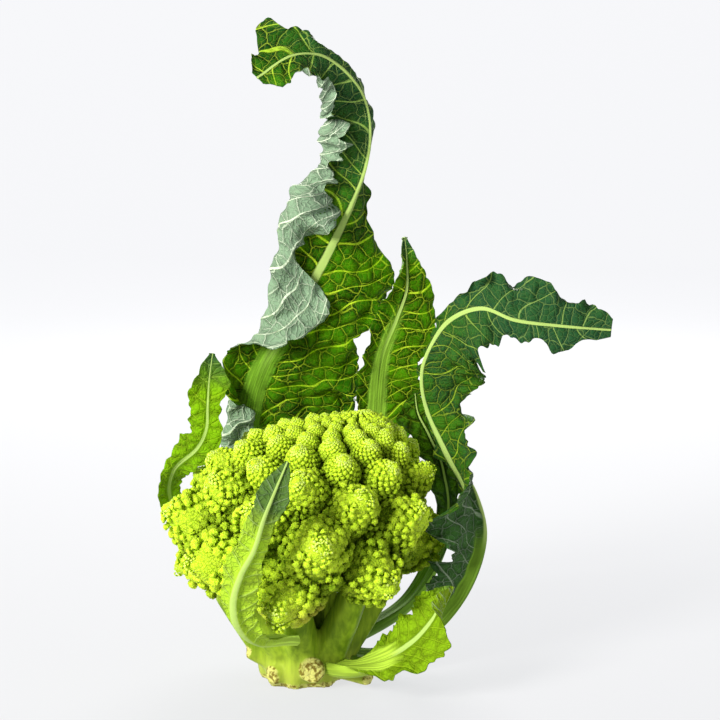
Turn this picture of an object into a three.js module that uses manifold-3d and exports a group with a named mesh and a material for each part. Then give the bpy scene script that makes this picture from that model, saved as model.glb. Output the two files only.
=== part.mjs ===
// A romanesco head with its leaves, standing on the flat cut of its stem.
// Millimetres, +Z up. The origin is the middle of the stem's cut, -Y is the front and +X the right.
// The curd is a spiral of cone-shaped florets that shrink towards a tip which leans back and right.
// Under it the stem forks into a stalk for each low floret, and each leaf springs from the stem's side.
import * as THREE from "three";
import { mergeVertices } from "three/addons/utils/BufferGeometryUtils.js";
import Module from "manifold-3d";

const wasm = await Module();
wasm.setup();

// Driving dimensions of the curd
const GOLDEN = Math.PI * (3 - Math.sqrt(5)); // turn from one floret to the next
const CURD_PROFILE = [
  // [radius, height, shift to the right, shift to the back] of the surface that the florets stand
  // on, from the tip to under the rim
  [0, 152, 32, 6],
  [12, 146, 26, 6],
  [26, 139, 16, 5],
  [39, 129, 9, 5],
  [49, 115, 3, 3],
  [56, 96, -3, 0],
  [57, 76, -4, 0],
  [47, 61, -1, 0],
];
const CURD_TURN = 2.1; // where round the head the first floret sits, in radians
const FLORET_SHARE = 0.4; // a floret's width over its distance from the tip
const FLORET_MOST = 37; // width of the largest florets
const FLORET_LEAST = 8.5; // narrower ones are bumps of the tip
const FLORET_LARGE = 26; // wider ones carry more bumps
const FLORET_PACKING = 0.8; // surface that a floret takes, over its width squared
const FLORET_RISE = 0.52; // height of a floret over its width
const CORE_INSET = 5; // how deep the plain core lies under the florets' feet

// Driving dimensions of the stem
const TRUNK_PROFILE = [
  // [radius, height] of the cut stem, with its edge pared at the foot
  [0, 0],
  [22, 0],
  [25, 4],
  [26, 13],
  [23, 30],
  [19, 56],
  [14, 82],
  [0, 84],
];
const TRUNK_SHIFT = -4; // the cut's middle stands a little left of the origin
const STALK_FOOT = [14, 14]; // [distance from the middle, height] where a floret's stalk starts
const STALK_RADII = [12, 9]; // of a stalk at its foot and under its floret
const STALKS = 9; // the lowest florets have a stalk that shows
const STUBS = [
  // [foot, end, radii] of the bases of leaves that were trimmed off
  { foot: [-16, -8, 12], end: [-35, -14, 19], radii: [8, 3.5] },
  { foot: [-12, -14, 9], end: [-22, -22, 7], radii: [7, 5] },
  { foot: [12, -8, 10], end: [33, -24, 6], radii: [7, 4] },
  { foot: [2, -12, 13], end: [1, -30, 12], radii: [9, 7] },
];
const SIDE_STALK = {
  // the stalk that stands apart at the left
  path: [
    [-15, -5, 8],
    [-30, -10, 28],
    [-46, -14, 54],
  ],
  radii: [9.5, 8],
};
const GAP = 0.35; // clear space between pieces that touch

// Driving dimensions of the leaves
const BLADE = 0.9; // thickness of a leaf blade

// Each leaf runs along its midrib from the stem to the tip. Every list holds one value per midrib
// point. The face is the way the upper side looks. Left and right are as seen on the upper side.
// The fold is the angle at which a half leaves the midrib towards the upper side, and the curl is
// how much further it turns by its margin, both in degrees. The bend gives the shares of the half
// blade between which it curls, as two numbers or as two lists. Its sideways direction is evened
// out over the evened share.
const LEAVES = [
  {
    name: "leaf_tall_curled",
    rows: 42,
    columns: [6, 4],
    rib: [7, 7, 5.5, 5, 4.5, 4, 3.4, 2.8, 2.2, 1.7, 1.4, 1.2, 1],
    midrib: [
      [-8, 19, 18],
      [-28, 66, 44],
      [-43, 91, 90],
      [-38, 80, 138],
      [-28, 68, 168],
      [-10, 58, 198],
      [13, 55, 241],
      [29, 52, 275],
      [34, 47, 303],
      [28, 38, 327],
      [9, 24, 345],
      [-10, 12, 346],
      [-28, 2, 334],
    ],
    face: [
      [0.2, -0.4, 1],
      [0.3, -0.9, 0.5],
      [0.3, -1, 0.1],
      [0.1, -1, 0],
      [0.1, -1, 0],
      [0.1, -1, 0],
      [0.1, -1, 0],
      [0, -1, 0],
      [-0.1, -1, 0],
      [-0.2, -1, 0],
      [-0.1, -1, 0.2],
      [0, -1, 0.5],
      [0, -1, 0.6],
    ],
    left: {
      width: [8, 7, 22, 36, 24, 56, 75, 58, 54, 43, 28, 26, 8],
      fold: [20, 20, 10, 10, 10, 5, 5, 5, 5, 10, 10, 10, 0],
      curl: [0, 0, 120, 185, 10, 185, 195, 195, 190, 175, 110, 30, 0],
      bend: [
        [0.3, 0.3, 0.3, 0.26, 0.26, 0.22, 0.33, 0.36, 0.36, 0.46, 0.4, 0.3, 0.3],
        [0.7, 0.7, 0.7, 0.66, 0.66, 0.48, 0.72, 0.78, 0.8, 0.86, 0.9, 0.8, 0.8],
      ],
    },
    right: {
      width: [8, 7, 18, 56, 60, 48, 44, 12, 14, 9, 8, 27, 9],
      fold: [20, 20, 10, 0, -5, -5, -10, -80, -85, -80, -40, -10, 0],
      curl: [0, 0, 0, 0, -10, -15, -20, -20, -20, 0, 20, 20, 0],
      bend: [0.12, 0.88],
    },
    lobes: { count: 11, depth: 0.2 },
    evened: 0.045,
    ruffle: { height: 3, waves: 9, phase: 0.4 },
  },
  {
    name: "leaf_back_upright",
    rows: 22,
    columns: [3, 3],
    rib: [6, 5.5, 4.6, 4, 3.2, 2.4, 1.8, 1.3, 1],
    midrib: [
      [5, 18, 16],
      [24, 60, 42],
      [36, 80, 92],
      [37, 72, 140],
      [40, 58, 173],
      [48, 52, 195],
      [54, 49, 213],
      [54, 46, 230],
      [52.5, 42, 244],
    ],
    face: [
      [0, -0.4, 1],
      [-0.3, -0.9, 0.4],
      [-0.2, -1, 0],
      [0, -1, 0],
      [0, -1, 0],
      [0, -1, 0],
      [0.2, -1, 0],
      [0.5, -1, 0],
      [0.8, -1, 0],
    ],
    left: {
      width: [6, 6, 6, 12, 14, 15, 11, 7, 2.5],
      fold: [20, 20, 10, 10, 20, 15, 10, 10, 10],
      curl: [0, 0, 0, 10, 20, 20, 30, 40, 30],
      bend: [0.12, 0.88],
    },
    right: {
      width: [6, 6, 6, 26, 26, 27, 18, 7, 2.5],
      fold: [20, 20, 10, 5, 0, 0, 5, 20, 30],
      curl: [0, 0, 0, 10, 10, -15, -20, 20, 60],
      bend: [0.12, 0.88],
    },
    lobes: { count: 7, depth: 0.16 },
    evened: 0.045,
    ruffle: { height: 2, waves: 6, phase: 1.2 },
  },
  {
    name: "leaf_right_arching",
    rows: 42,
    columns: [3, 4],
    rib: [8, 7, 6, 5.4, 5.2, 5, 4.2, 3.4, 2.8, 2.5, 2.3, 2.1, 1.9, 1.6, 1.3, 1],
    midrib: [
      [15, 2, 14],
      [36, 1, 11.5],
      [57, 3, 20],
      [77, 5, 37],
      [89.3, 6, 58],
      [94, 6, 80],
      [88.7, 8, 103],
      [75, 12, 127],
      [64, 14, 150],
      [61, 11, 170],
      [66, 6, 187],
      [77, 2, 202],
      [94, -4, 209],
      [112, -8, 203],
      [135, -8, 200],
      [165, -4, 197],
    ],
    face: [
      [0, -0.3, 1],
      [-0.3, -0.2, 1],
      [-0.6, -0.2, 0.7],
      [-0.8, -0.2, 0.5],
      [-1, -0.3, 0.2],
      [-1, -0.4, 0],
      [-0.9, -0.6, -0.2],
      [-0.5, -1, 0],
      [-0.2, -1, 0],
      [-0.2, -1, 0.1],
      [-0.1, -1, 0.2],
      [0, -1, 0.3],
      [0, -1, 0.3],
      [0, -1, 0.2],
      [0, -1, 0.3],
      [0, -1, 0.4],
    ],
    left: {
      width: [8, 7, 6.5, 6, 6, 6, 7, 10, 10, 10, 9, 8, 17, 27, 22, 13],
      fold: [25, 25, 20, 20, 20, 20, 10, -20, -75, -80, -70, -30, 0, 5, 5, 5],
      curl: [0, 0, 0, 0, 0, 0, 0, -20, -20, -10, 0, 10, 10, -10, 10, 10],
      bend: [0.12, 0.88],
    },
    right: {
      width: [8, 7, 12, 26, 32, 36, 56, 24, 32, 37, 38, 36, 26, 13, 16, 8],
      fold: [25, 25, 40, 55, 52, 48, 43, 20, 5, 5, 5, 0, 0, -5, 0, 5],
      curl: [0, 0, 10, 20, 20, 25, 35, 0, -20, -20, -15, -10, -20, -30, -20, 0],
      bend: [0.12, 0.88],
    },
    lobes: { count: 12, depth: 0.22 },
    evened: 0.17,
    ruffle: { height: 2.4, waves: 10, phase: 2.0 },
  },
  {
    name: "leaf_left_upright",
    rows: 24,
    columns: [3, 3],
    rib: [6, 5, 4.4, 4, 3.6, 3, 2.4, 1.8, 1.2, 0.9],
    midrib: [
      [-19, 8, 14],
      [-40, 42, 34],
      [-64, 56, 62],
      [-81, 40, 92],
      [-78, 22, 114],
      [-64, 12, 128],
      [-58, 8, 140],
      [-57, 6, 153],
      [-56, 5, 168],
      [-54, 5, 183],
    ],
    face: [
      [0.3, 0, 1],
      [0.6, -0.3, 0.7],
      [0.9, -0.4, 0.3],
      [0.8, -0.7, 0],
      [0.6, -0.9, -0.1],
      [0.4, -0.9, 0.2],
      [0.3, -1, 0.1],
      [0.3, -1, 0],
      [0.3, -1, 0],
      [0.5, -1, 0],
    ],
    left: {
      width: [6, 6, 6, 8, 7, 12, 11, 12, 10, 2.5],
      fold: [20, 20, 10, 0, 0, 0, -5, -10, 0, 0],
      curl: [0, 0, 0, 0, -20, -30, -30, -10, 10, 20],
      bend: [0.12, 0.88],
    },
    right: {
      width: [6, 6, 6, 8, 9, 12, 12, 8, 12, 2.5],
      fold: [20, 20, 10, 10, 20, 20, 15, 10, 10, 10],
      curl: [0, 0, 0, 10, 20, 0, 0, 10, 20, 30],
      bend: [0.12, 0.88],
    },
    lobes: { count: 7, depth: 0.18 },
    evened: 0.045,
    ruffle: { height: 1.6, waves: 6, phase: 0.2 },
  },
  {
    name: "leaf_front_folded",
    rows: 22,
    columns: [3, 3],
    rib: [5, 4.4, 3.8, 3.2, 2.8, 2.4, 2, 1.6, 1.2, 0.9],
    midrib: [
      [-2, -16, 27],
      [-13, -42, 34],
      [-27, -62, 39],
      [-36, -76, 51],
      [-38, -84, 66],
      [-34, -89, 81],
      [-27, -93, 95],
      [-22, -93, 111],
      [-16, -88, 125],
      [-10, -80, 138],
    ],
    face: [
      [0, 0.2, 1],
      [0.1, 0.3, 1],
      [0.4, 0.4, 0.9],
      [0.3, 0.8, 0.6],
      [0.1, 1, 0.3],
      [-0.1, 1, 0.1],
      [-0.2, 1, 0],
      [-0.3, 1, -0.1],
      [-0.3, 1, -0.2],
      [-0.1, 1, -0.4],
    ],
    left: {
      width: [5, 5, 8, 11, 13, 12, 8, 8, 9, 2],
      fold: [20, 20, 10, 10, 10, 10, 10, 15, 0, 0],
      curl: [0, 0, 10, 20, 20, 10, 10, 0, -60, -60],
      bend: [0.12, 0.88],
    },
    right: {
      width: [5, 5, 5, 5, 8, 10, 10, 8, 8, 2],
      fold: [20, 20, 20, 10, 10, 10, 10, 10, 10, 0],
      curl: [0, 0, 0, 10, 10, 0, -10, 0, 20, 20],
      bend: [0.12, 0.88],
    },
    lobes: { count: 7, depth: 0.16 },
    evened: 0.045,
    ruffle: { height: 1.2, waves: 6, phase: 0.9 },
  },
  {
    name: "leaf_front_small",
    rows: 16,
    columns: [4, 3],
    rib: [7, 6.4, 5.4, 4, 3, 2, 1.2],
    midrib: [
      [8, -14, 12],
      [23, -32, 15],
      [41, -42, 22],
      [56, -46, 33],
      [66, -48, 45],
      [72, -48, 56],
      [77, -46, 64],
    ],
    face: [
      [0, -0.1, 1],
      [-0.1, 0, 1],
      [-0.3, 0.1, 0.9],
      [-0.5, 0.2, 0.8],
      [-0.7, 0, 0.6],
      [-0.8, -0.3, 0.4],
      [-0.8, -0.5, 0.4],
    ],
    left: {
      width: [7, 7, 13, 18, 17, 12, 3],
      fold: [25, 25, 50, 60, 50, 40, 30],
      curl: [0, 0, 10, 10, 10, 20, 20],
      bend: [0.12, 0.88],
    },
    right: {
      width: [7, 7, 15, 21, 21, 14, 3],
      fold: [25, 20, -25, -45, -30, 20, 50],
      curl: [0, 0, -10, -10, 0, 60, 60],
      bend: [0.12, 0.88],
    },
    lobes: { count: 5, depth: 0.18 },
    evened: 0.045,
    ruffle: { height: 1.5, waves: 5, phase: 0 },
  },
  {
    name: "leaf_back_dark",
    rows: 14,
    columns: [3, 3],
    rib: [6, 5.4, 4.4, 3.4, 2.6, 1.8, 1],
    midrib: [
      [14, 13, 16],
      [56, 42, 34],
      [78, 54, 76],
      [76, 52, 108],
      [68, 50, 128],
      [61, 48, 142],
      [59, 45, 154],
    ],
    face: [
      [-0.2, 0, 1],
      [-0.7, -0.4, 0.6],
      [-0.8, -0.7, 0],
      [-0.6, -1, 0],
      [-0.4, -1, 0],
      [-0.2, -1, 0.1],
      [0, -1, 0.2],
    ],
    left: {
      width: [6, 6, 8, 14, 17, 14, 3],
      fold: [20, 20, 10, 0, 0, 0, 0],
      curl: [0, 0, 0, -10, -20, -10, 0],
      bend: [0.12, 0.88],
    },
    right: {
      width: [6, 6, 9, 12, 15, 12, 3],
      fold: [20, 20, 10, 10, 10, 5, 0],
      curl: [0, 0, 0, 20, 20, 20, 0],
      bend: [0.12, 0.88],
    },
    lobes: { count: 5, depth: 0.18 },
    evened: 0.045,
    ruffle: { height: 2, waves: 5, phase: 1 },
  },
];

const COLOURS = {
  curd: { color: 0xb4cc32, roughness: 0.6 },
  stem: { color: 0xb3c978, roughness: 0.5 },
  leaf: { color: 0x3f7a2a, roughness: 0.5 },
};

// A number from 0 to 1 that looks random and is the same on each run
function scatter(index, kind) {
  const wild = Math.sin(index * 12.9898 + kind * 78.233) * 43758.5453;
  return wild - Math.floor(wild);
}

function smooth(from, to, x) {
  const share = Math.min(1, Math.max(0, (x - from) / (to - from)));
  return share * share * (3 - 2 * share);
}

// The value at share t along a list of evenly spaced numbers, on a smooth curve through them
function along(list, t) {
  const last = list.length - 1;
  const span = Math.min(Math.floor(t * last), last - 1);
  const f = t * last - span;
  const at = (i) => list[Math.max(0, Math.min(last, i))];
  const [a, b, c, d] = [at(span - 1), at(span), at(span + 1), at(span + 2)];
  const rise = c - a;
  const bend = 2 * a - 5 * b + 4 * c - d;
  const twist = 3 * b - a - 3 * c + d;
  return 0.5 * (2 * b + f * (rise + f * (bend + f * twist)));
}

function pointAlong(points, t) {
  return new THREE.Vector3(...[0, 1, 2].map((k) => along(points.map((p) => p[k]), t)));
}

function geometryOf(points, faces) {
  const geometry = new THREE.BufferGeometry();
  const flat = points.flatMap((p) => [p.x, p.y, p.z]);
  geometry.setAttribute("position", new THREE.Float32BufferAttribute(flat, 3));
  geometry.setIndex(faces.flat());
  return geometry;
}

function solidOf(geometry) {
  const bare = geometry.clone();
  bare.deleteAttribute("normal");
  bare.deleteAttribute("uv");
  const merged = mergeVertices(bare, 1e-4);
  const mesh = new wasm.Mesh({
    numProp: 3,
    vertProperties: merged.attributes.position.array,
    triVerts: new Uint32Array(merged.index.array),
  });
  return new wasm.Manifold(mesh);
}

function geometryFrom(solid) {
  const mesh = solid.getMesh();
  const geometry = new THREE.BufferGeometry();
  geometry.setAttribute("position", new THREE.BufferAttribute(mesh.vertProperties, 3));
  geometry.setIndex(new THREE.BufferAttribute(mesh.triVerts, 1));
  return geometry;
}

function joined(solids) {
  return solids.reduce((whole, solid) => whole.add(solid));
}

// The largest body alone: sealed hollows are filled and loose scraps dropped
function onlyLargest(solid) {
  return solid.decompose().reduce((best, one) => (one.volume() > best.volume() ? one : best));
}

// The curd's surface, read by distance from the tip along the profile
const profileSteps = 400;
const profileTable = Array.from({ length: profileSteps + 1 }, (_, i) => {
  const [r, z, x, y] = [0, 1, 2, 3].map((k) => along(CURD_PROFILE.map((p) => p[k]), i / profileSteps));
  return { r, z, x, y, way: 0 };
});
profileTable.forEach((here, i) => {
  const before = profileTable[Math.max(0, i - 1)];
  here.way = before.way + Math.hypot(here.r - before.r, here.z - before.z);
});
const profileLength = profileTable[profileSteps].way;

function onProfile(way) {
  const found = profileTable.findIndex((p) => p.way >= way);
  const i = Math.max(1, found < 0 ? profileSteps : found);
  const [a, b] = [profileTable[i - 1], profileTable[i]];
  const f = (way - a.way) / (b.way - a.way);
  const length = b.way - a.way;
  return {
    r: a.r + (b.r - a.r) * f,
    z: a.z + (b.z - a.z) * f,
    x: a.x + (b.x - a.x) * f,
    y: a.y + (b.y - a.y) * f,
    out: -(b.z - a.z) / length,
    up: (b.r - a.r) / length,
  };
}

// Where each floret stands: from the rim to the tip, a golden turn apart, each taking the surface
// that its width needs
function floretPlaces() {
  const places = [];
  let way = profileLength;
  for (let i = 0; way > 1.5; i++) {
    const width = Math.min(FLORET_SHARE * way, FLORET_MOST);
    const { r, z, x, y, out, up } = onProfile(way);
    const turn = CURD_TURN + i * GOLDEN + 0.1 * (scatter(i, 1) - 0.5);
    const foot = new THREE.Vector3(r * Math.cos(turn) + x, r * Math.sin(turn) + y, z);
    const axis = new THREE.Vector3(out * Math.cos(turn), out * Math.sin(turn), up + 0.22);
    axis.x += 0.1 * (scatter(i, 2) - 0.5);
    axis.z += 0.1 * (scatter(i, 3) - 0.5);
    const size = width * (0.94 + 0.18 * scatter(i, 4));
    places.push({ foot, axis: axis.normalize(), width: size, turn });
    way -= (FLORET_PACKING * width * width) / (2 * Math.PI * Math.max(r, 0.45 * way));
  }
  return places;
}

// A dome whose surface is a grid of bumps in crossing spirals. The profile gives [radius, height]
// by share of the way from tip (0) to rim (1). Families are the numbers of spirals each way round.
function spiralDome({ profile, families, shrink, count, from, bump, depth }) {
  const [m, n] = families;
  const wrap = (angle) => angle - 2 * Math.PI * Math.round(angle / (2 * Math.PI));
  const [stepM, stepN] = [wrap(m * GOLDEN), wrap(n * GOLDEN)];
  const place = (index, angle, raise) => {
    const share = from * Math.exp(-shrink * index);
    const [r, z] = profile(share);
    const [r2, z2] = profile(share * 1.02);
    const length = Math.hypot(r2 - r, z2 - z) || 1;
    const [out, up] = [(z - z2) / length, (r2 - r) / length];
    const lift = raise * share;
    const radius = r + out * lift;
    return new THREE.Vector3(radius * Math.cos(angle), radius * Math.sin(angle), z + up * lift);
  };
  const points = [];
  const faces = [];
  for (let i = 0; i < count; i++) points.push(place(i, i * GOLDEN, 0));
  const upright = stepM * n - stepN * m > 0;
  for (let i = 0; i + m + n < count; i++) {
    const corners = [i, i + m, i + m + n, i + n];
    if (!upright) corners.reverse();
    const peak = points.length;
    points.push(place(i + (m + n) / 2, i * GOLDEN + (stepM + stepN) / 2, bump));
    corners.forEach((corner, k) => faces.push([corner, corners[(k + 1) % 4], peak]));
  }
  const ring = (first) => {
    const turnOf = (i) => ((i * GOLDEN) % (2 * Math.PI)) + 0;
    return Array.from({ length: m + n }, (_, k) => first + k).sort((a, b) => turnOf(a) - turnOf(b));
  };
  const top = ring(count - m - n);
  const bottom = ring(0);
  const tip = points.push(new THREE.Vector3(0, 0, profile(0)[1])) - 1;
  const foot = points.push(new THREE.Vector3(0, 0, -depth)) - 1;
  top.forEach((v, k) => faces.push([v, top[(k + 1) % top.length], tip]));
  bottom.forEach((v, k) => faces.push([bottom[(k + 1) % bottom.length], v, foot]));
  return geometryOf(points, faces);
}

// A floret's outline: a blunt cone that tucks in under its rim
function floretProfile(width) {
  const [radius, height] = [width / 2, width * FLORET_RISE];
  return (share) => {
    if (share <= 1) return [radius * share ** 0.9, height * (1 - share ** 1.7)];
    return [radius * (1 - 0.28 * (share - 1)), -0.9 * height * (share - 1)];
  };
}

function floretSolid(place) {
  const large = place.width > FLORET_LARGE;
  const geometry = spiralDome({
    profile: floretProfile(place.width * 1.08),
    families: large ? [5, 8] : [3, 5],
    shrink: large ? 0.06 : 0.14,
    count: large ? 31 : 17,
    from: large ? 1.3 : 1.35,
    bump: place.width * (large ? 0.12 : 0.13),
    depth: place.width * 0.7,
  });
  const stand = new THREE.Quaternion().setFromUnitVectors(new THREE.Vector3(0, 0, 1), place.axis);
  const spin = new THREE.Quaternion().setFromAxisAngle(place.axis, place.turn);
  geometry.applyQuaternion(stand).applyQuaternion(spin);
  geometry.translate(place.foot.x, place.foot.y, place.foot.z);
  return solidOf(geometry);
}

// The plain heart of the curd, whose bumpy tip shows
function coreSolid() {
  const reach = profileLength * 0.9;
  const geometry = spiralDome({
    profile: (share) => {
      const { r, z } = onProfile(Math.min(share, 1) * reach);
      const inset = CORE_INSET * smooth(0.05, 0.4, share);
      return [Math.max(0, r - inset), z - inset * 0.4];
    },
    families: [5, 8],
    shrink: 0.06,
    count: 66,
    from: 1,
    bump: 7,
    depth: -CURD_PROFILE.at(-1)[1],
  });
  const position = geometry.attributes.position;
  for (let i = 0; i < position.count; i++) {
    const level = profileTable.find((p) => p.z <= position.getZ(i)) ?? profileTable.at(-1);
    position.setXY(i, position.getX(i) + level.x, position.getY(i) + level.y);
  }
  return solidOf(geometry);
}

// A tapering round bar along a curve, closed at both ends
function barSolid(points, radii, sides, steps) {
  const rings = [];
  const faces = [];
  for (let i = 0; i <= steps; i++) {
    const t = i / steps;
    const centre = pointAlong(points, t);
    const ahead = pointAlong(points, Math.min(1, t + 0.01));
    const behind = pointAlong(points, Math.max(0, t - 0.01));
    const tangent = ahead.sub(behind).normalize();
    const across = new THREE.Vector3(-tangent.y, tangent.x, 0.01).cross(tangent).normalize();
    const beside = new THREE.Vector3().crossVectors(tangent, across);
    const radius = along(radii, t);
    for (let k = 0; k < sides; k++) {
      const angle = (2 * Math.PI * k) / sides;
      const spoke = across.clone().multiplyScalar(radius * Math.cos(angle));
      spoke.addScaledVector(beside, radius * Math.sin(angle));
      rings.push(centre.clone().add(spoke));
    }
  }
  for (let i = 0; i < steps; i++) {
    for (let k = 0; k < sides; k++) {
      const [a, b] = [i * sides + k, i * sides + ((k + 1) % sides)];
      faces.push([a, b, b + sides], [a, b + sides, a + sides]);
    }
  }
  for (let k = 1; k + 1 < sides; k++) {
    faces.push([0, k + 1, k]);
    faces.push([steps * sides, steps * sides + k, steps * sides + k + 1]);
  }
  return solidOf(geometryOf(rings, faces));
}

// The cut stem and the stalks of the lowest florets. A grown copy is the room that its neighbours leave.
function stemSolid(places, grown) {
  const outline = TRUNK_PROFILE.map(([r, z], i) => {
    const atCut = i < 2;
    return new THREE.Vector2(r > 0 ? r + grown : 0, atCut ? z - grown : z + (r > 0 ? 0 : grown));
  });
  const trunk = new THREE.LatheGeometry(outline, 20).rotateX(Math.PI / 2).translate(TRUNK_SHIFT, 0, 0);
  const stalks = places.slice(0, STALKS).map((place) => {
    const out = new THREE.Vector2(place.foot.x, place.foot.y).normalize();
    const foot = [out.x * STALK_FOOT[0], out.y * STALK_FOOT[0], STALK_FOOT[1]];
    const top = place.foot.clone().addScaledVector(place.axis, -0.1 * place.width);
    const elbow = [top.x * 0.68, top.y * 0.68, STALK_FOOT[1] + (top.z - STALK_FOOT[1]) * 0.5];
    return barSolid([foot, elbow, top.toArray()], STALK_RADII.map((r) => r + grown), 7, 4);
  });
  const stubs = STUBS.map(({ foot, end, radii }) => {
    return barSolid([foot, end], radii.map((r) => r + grown), 6, 1);
  });
  const side = barSolid(SIDE_STALK.path, SIDE_STALK.radii.map((r) => r + grown), 7, 4);
  return joined([solidOf(trunk), ...stalks, side, ...stubs]);
}

// How far the margin reaches at share t of the leaf: lobes, and a rounded end
function margin(leaf, t, side) {
  const { count, depth } = leaf.lobes;
  const wave = Math.abs(Math.sin(Math.PI * (count * t + 0.37 * side)));
  const open = smooth(0.3, 0.42, t);
  const end = Math.min(1, (1 - t) / 0.03);
  const rounded = 0.35 + 0.65 * Math.sqrt(end * (2 - end));
  return rounded * (1 - open * depth * (1 - wave ** 0.7));
}

// One row of a leaf: its midrib frame and the two half blades' lines
function leafRow(leaf, t) {
  const centre = pointAlong(leaf.midrib, t);
  const ahead = pointAlong(leaf.midrib, Math.min(1, t + leaf.evened));
  const behind = pointAlong(leaf.midrib, Math.max(0, t - leaf.evened));
  const tangent = ahead.sub(behind).normalize();
  const face = pointAlong(leaf.face, t);
  face.addScaledVector(tangent, -face.dot(tangent)).normalize();
  const beside = new THREE.Vector3().crossVectors(tangent, face);
  const rib = along(leaf.rib, t);
  const columns = [];
  [leaf.left, leaf.right].forEach((half, index) => {
    const side = index === 0 ? -1 : 1;
    const width = along(half.width, t) * margin(leaf, t, side);
    const fold = THREE.MathUtils.degToRad(along(half.fold, t));
    const bend = half.bend.map((shares) => (Array.isArray(shares) ? along(shares, t) : shares));
    const curl = THREE.MathUtils.degToRad(along(half.curl, t));
    const cells = leaf.columns[index];
    const first = Math.min(rib / width, 1 / cells);
    let [out, up, reached] = [0, 0, 0];
    for (let k = index === 0 ? 1 : 0; k <= cells; k++) {
      const share = k === 0 ? 0 : first + ((1 - first) * (k - 1)) / (cells - 1);
      while (reached < share - 1e-9) {
        const step = Math.min(0.02, share - reached);
        const angle = fold + curl * smooth(...bend, reached + step / 2);
        out += Math.cos(angle) * step * width;
        up += Math.sin(angle) * step * width;
        reached += step;
      }
      const angle = fold + curl * smooth(...bend, share);
      const normal = face.clone().multiplyScalar(Math.cos(angle));
      normal.addScaledVector(beside, -side * Math.sin(angle));
      const wave = Math.sin(2 * Math.PI * leaf.ruffle.waves * t + leaf.ruffle.phase + side);
      const lift = leaf.ruffle.height * Math.min(1, width / 20) * share ** 2 * wave * smooth(0.3, 0.45, t);
      const point = centre.clone().addScaledVector(beside, side * out).addScaledVector(face, up);
      point.addScaledVector(normal, lift);
      const inRib = Math.sqrt(Math.max(0, 1 - ((share * width) / rib) ** 2));
      columns.push({ place: side * share, point, normal, thick: rib * inRib });
    }
  });
  return columns.sort((a, b) => a.place - b.place);
}

// A leaf is one closed blade: an upper and a lower face split alike, and a rib below the midrib
function leafSolid(leaf) {
  const points = [];
  const faces = [];
  const across = leaf.columns[0] + leaf.columns[1];
  for (let i = 0; i <= leaf.rows; i++) {
    const row = leafRow(leaf, i / leaf.rows);
    row.forEach(({ point, normal, thick }) => {
      points.push(point.clone().addScaledVector(normal, BLADE / 2 + 0.15 * thick));
      points.push(point.clone().addScaledVector(normal, -BLADE / 2 - 0.85 * thick));
    });
  }
  const upper = (i, j) => 2 * (i * (across + 1) + j);
  const lower = (i, j) => upper(i, j) + 1;
  for (let i = 0; i < leaf.rows; i++) {
    for (let j = 0; j < across; j++) {
      faces.push([upper(i, j), upper(i, j + 1), upper(i + 1, j + 1)]);
      faces.push([upper(i, j), upper(i + 1, j + 1), upper(i + 1, j)]);
      faces.push([lower(i, j), lower(i + 1, j + 1), lower(i, j + 1)]);
      faces.push([lower(i, j), lower(i + 1, j), lower(i + 1, j + 1)]);
    }
    for (const [a, b, j] of [[i + 1, i, 0], [i, i + 1, across]]) {
      faces.push([upper(a, j), lower(a, j), lower(b, j)]);
      faces.push([upper(a, j), lower(b, j), upper(b, j)]);
    }
  }
  for (let j = 0; j < across; j++) {
    for (const [i, a, b] of [[0, j, j + 1], [leaf.rows, j + 1, j]]) {
      faces.push([upper(i, a), lower(i, a), lower(i, b)]);
      faces.push([upper(i, a), lower(i, b), upper(i, b)]);
    }
  }
  return solidOf(geometryOf(points, faces));
}

function named(name, solid, look) {
  const mesh = new THREE.Mesh(geometryFrom(solid), new THREE.MeshStandardMaterial({ ...look, metalness: 0 }));
  mesh.name = name;
  return mesh;
}

const places = floretPlaces();
const stem = stemSolid(places, 0);
const stemRoom = stemSolid(places, GAP);
const shown = places.filter((place) => place.width > FLORET_LEAST);
const head = onlyLargest(joined([coreSolid(), ...shown.map(floretSolid)]));
const curd = onlyLargest(head.subtract(stemRoom));

const romanesco = new THREE.Group();
romanesco.name = "romanesco";
romanesco.add(named("curd", curd, COLOURS.curd));
romanesco.add(named("stem", stem, COLOURS.stem));
for (const leaf of LEAVES) {
  romanesco.add(named(leaf.name, onlyLargest(leafSolid(leaf).subtract(stemRoom)), COLOURS.leaf));
}

export default romanesco;
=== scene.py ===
"""Looks for a romanesco head, built around its solid model.

The curd is a spiral of florets, each a spiral of buds. The stem is bars melted into one body. The
leaves are fine lofts along their midribs with veins, puckering and teeth. Lengths here are in
millimetres unless a comment says otherwise, and the finished pieces are in metres.
"""

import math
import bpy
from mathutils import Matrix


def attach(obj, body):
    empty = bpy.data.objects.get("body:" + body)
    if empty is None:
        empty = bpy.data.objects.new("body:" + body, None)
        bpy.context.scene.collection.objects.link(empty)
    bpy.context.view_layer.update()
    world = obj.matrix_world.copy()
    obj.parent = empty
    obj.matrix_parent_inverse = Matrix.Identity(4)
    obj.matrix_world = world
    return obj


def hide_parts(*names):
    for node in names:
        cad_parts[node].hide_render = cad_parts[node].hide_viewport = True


bl_info = {
    "name": "Romanesco head",
    "version": (1, 0, 0),
    "blender": (4, 5, 0),
    "location": "3D View > Sidebar > Romanesco",
    "description": "Dresses a romanesco head with florets, buds, veined leaves and a cut stem",
    "category": "Object",
}

import bpy
import numpy as np
from bpy.props import FloatProperty, FloatVectorProperty, PointerProperty
from mathutils import Vector

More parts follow.
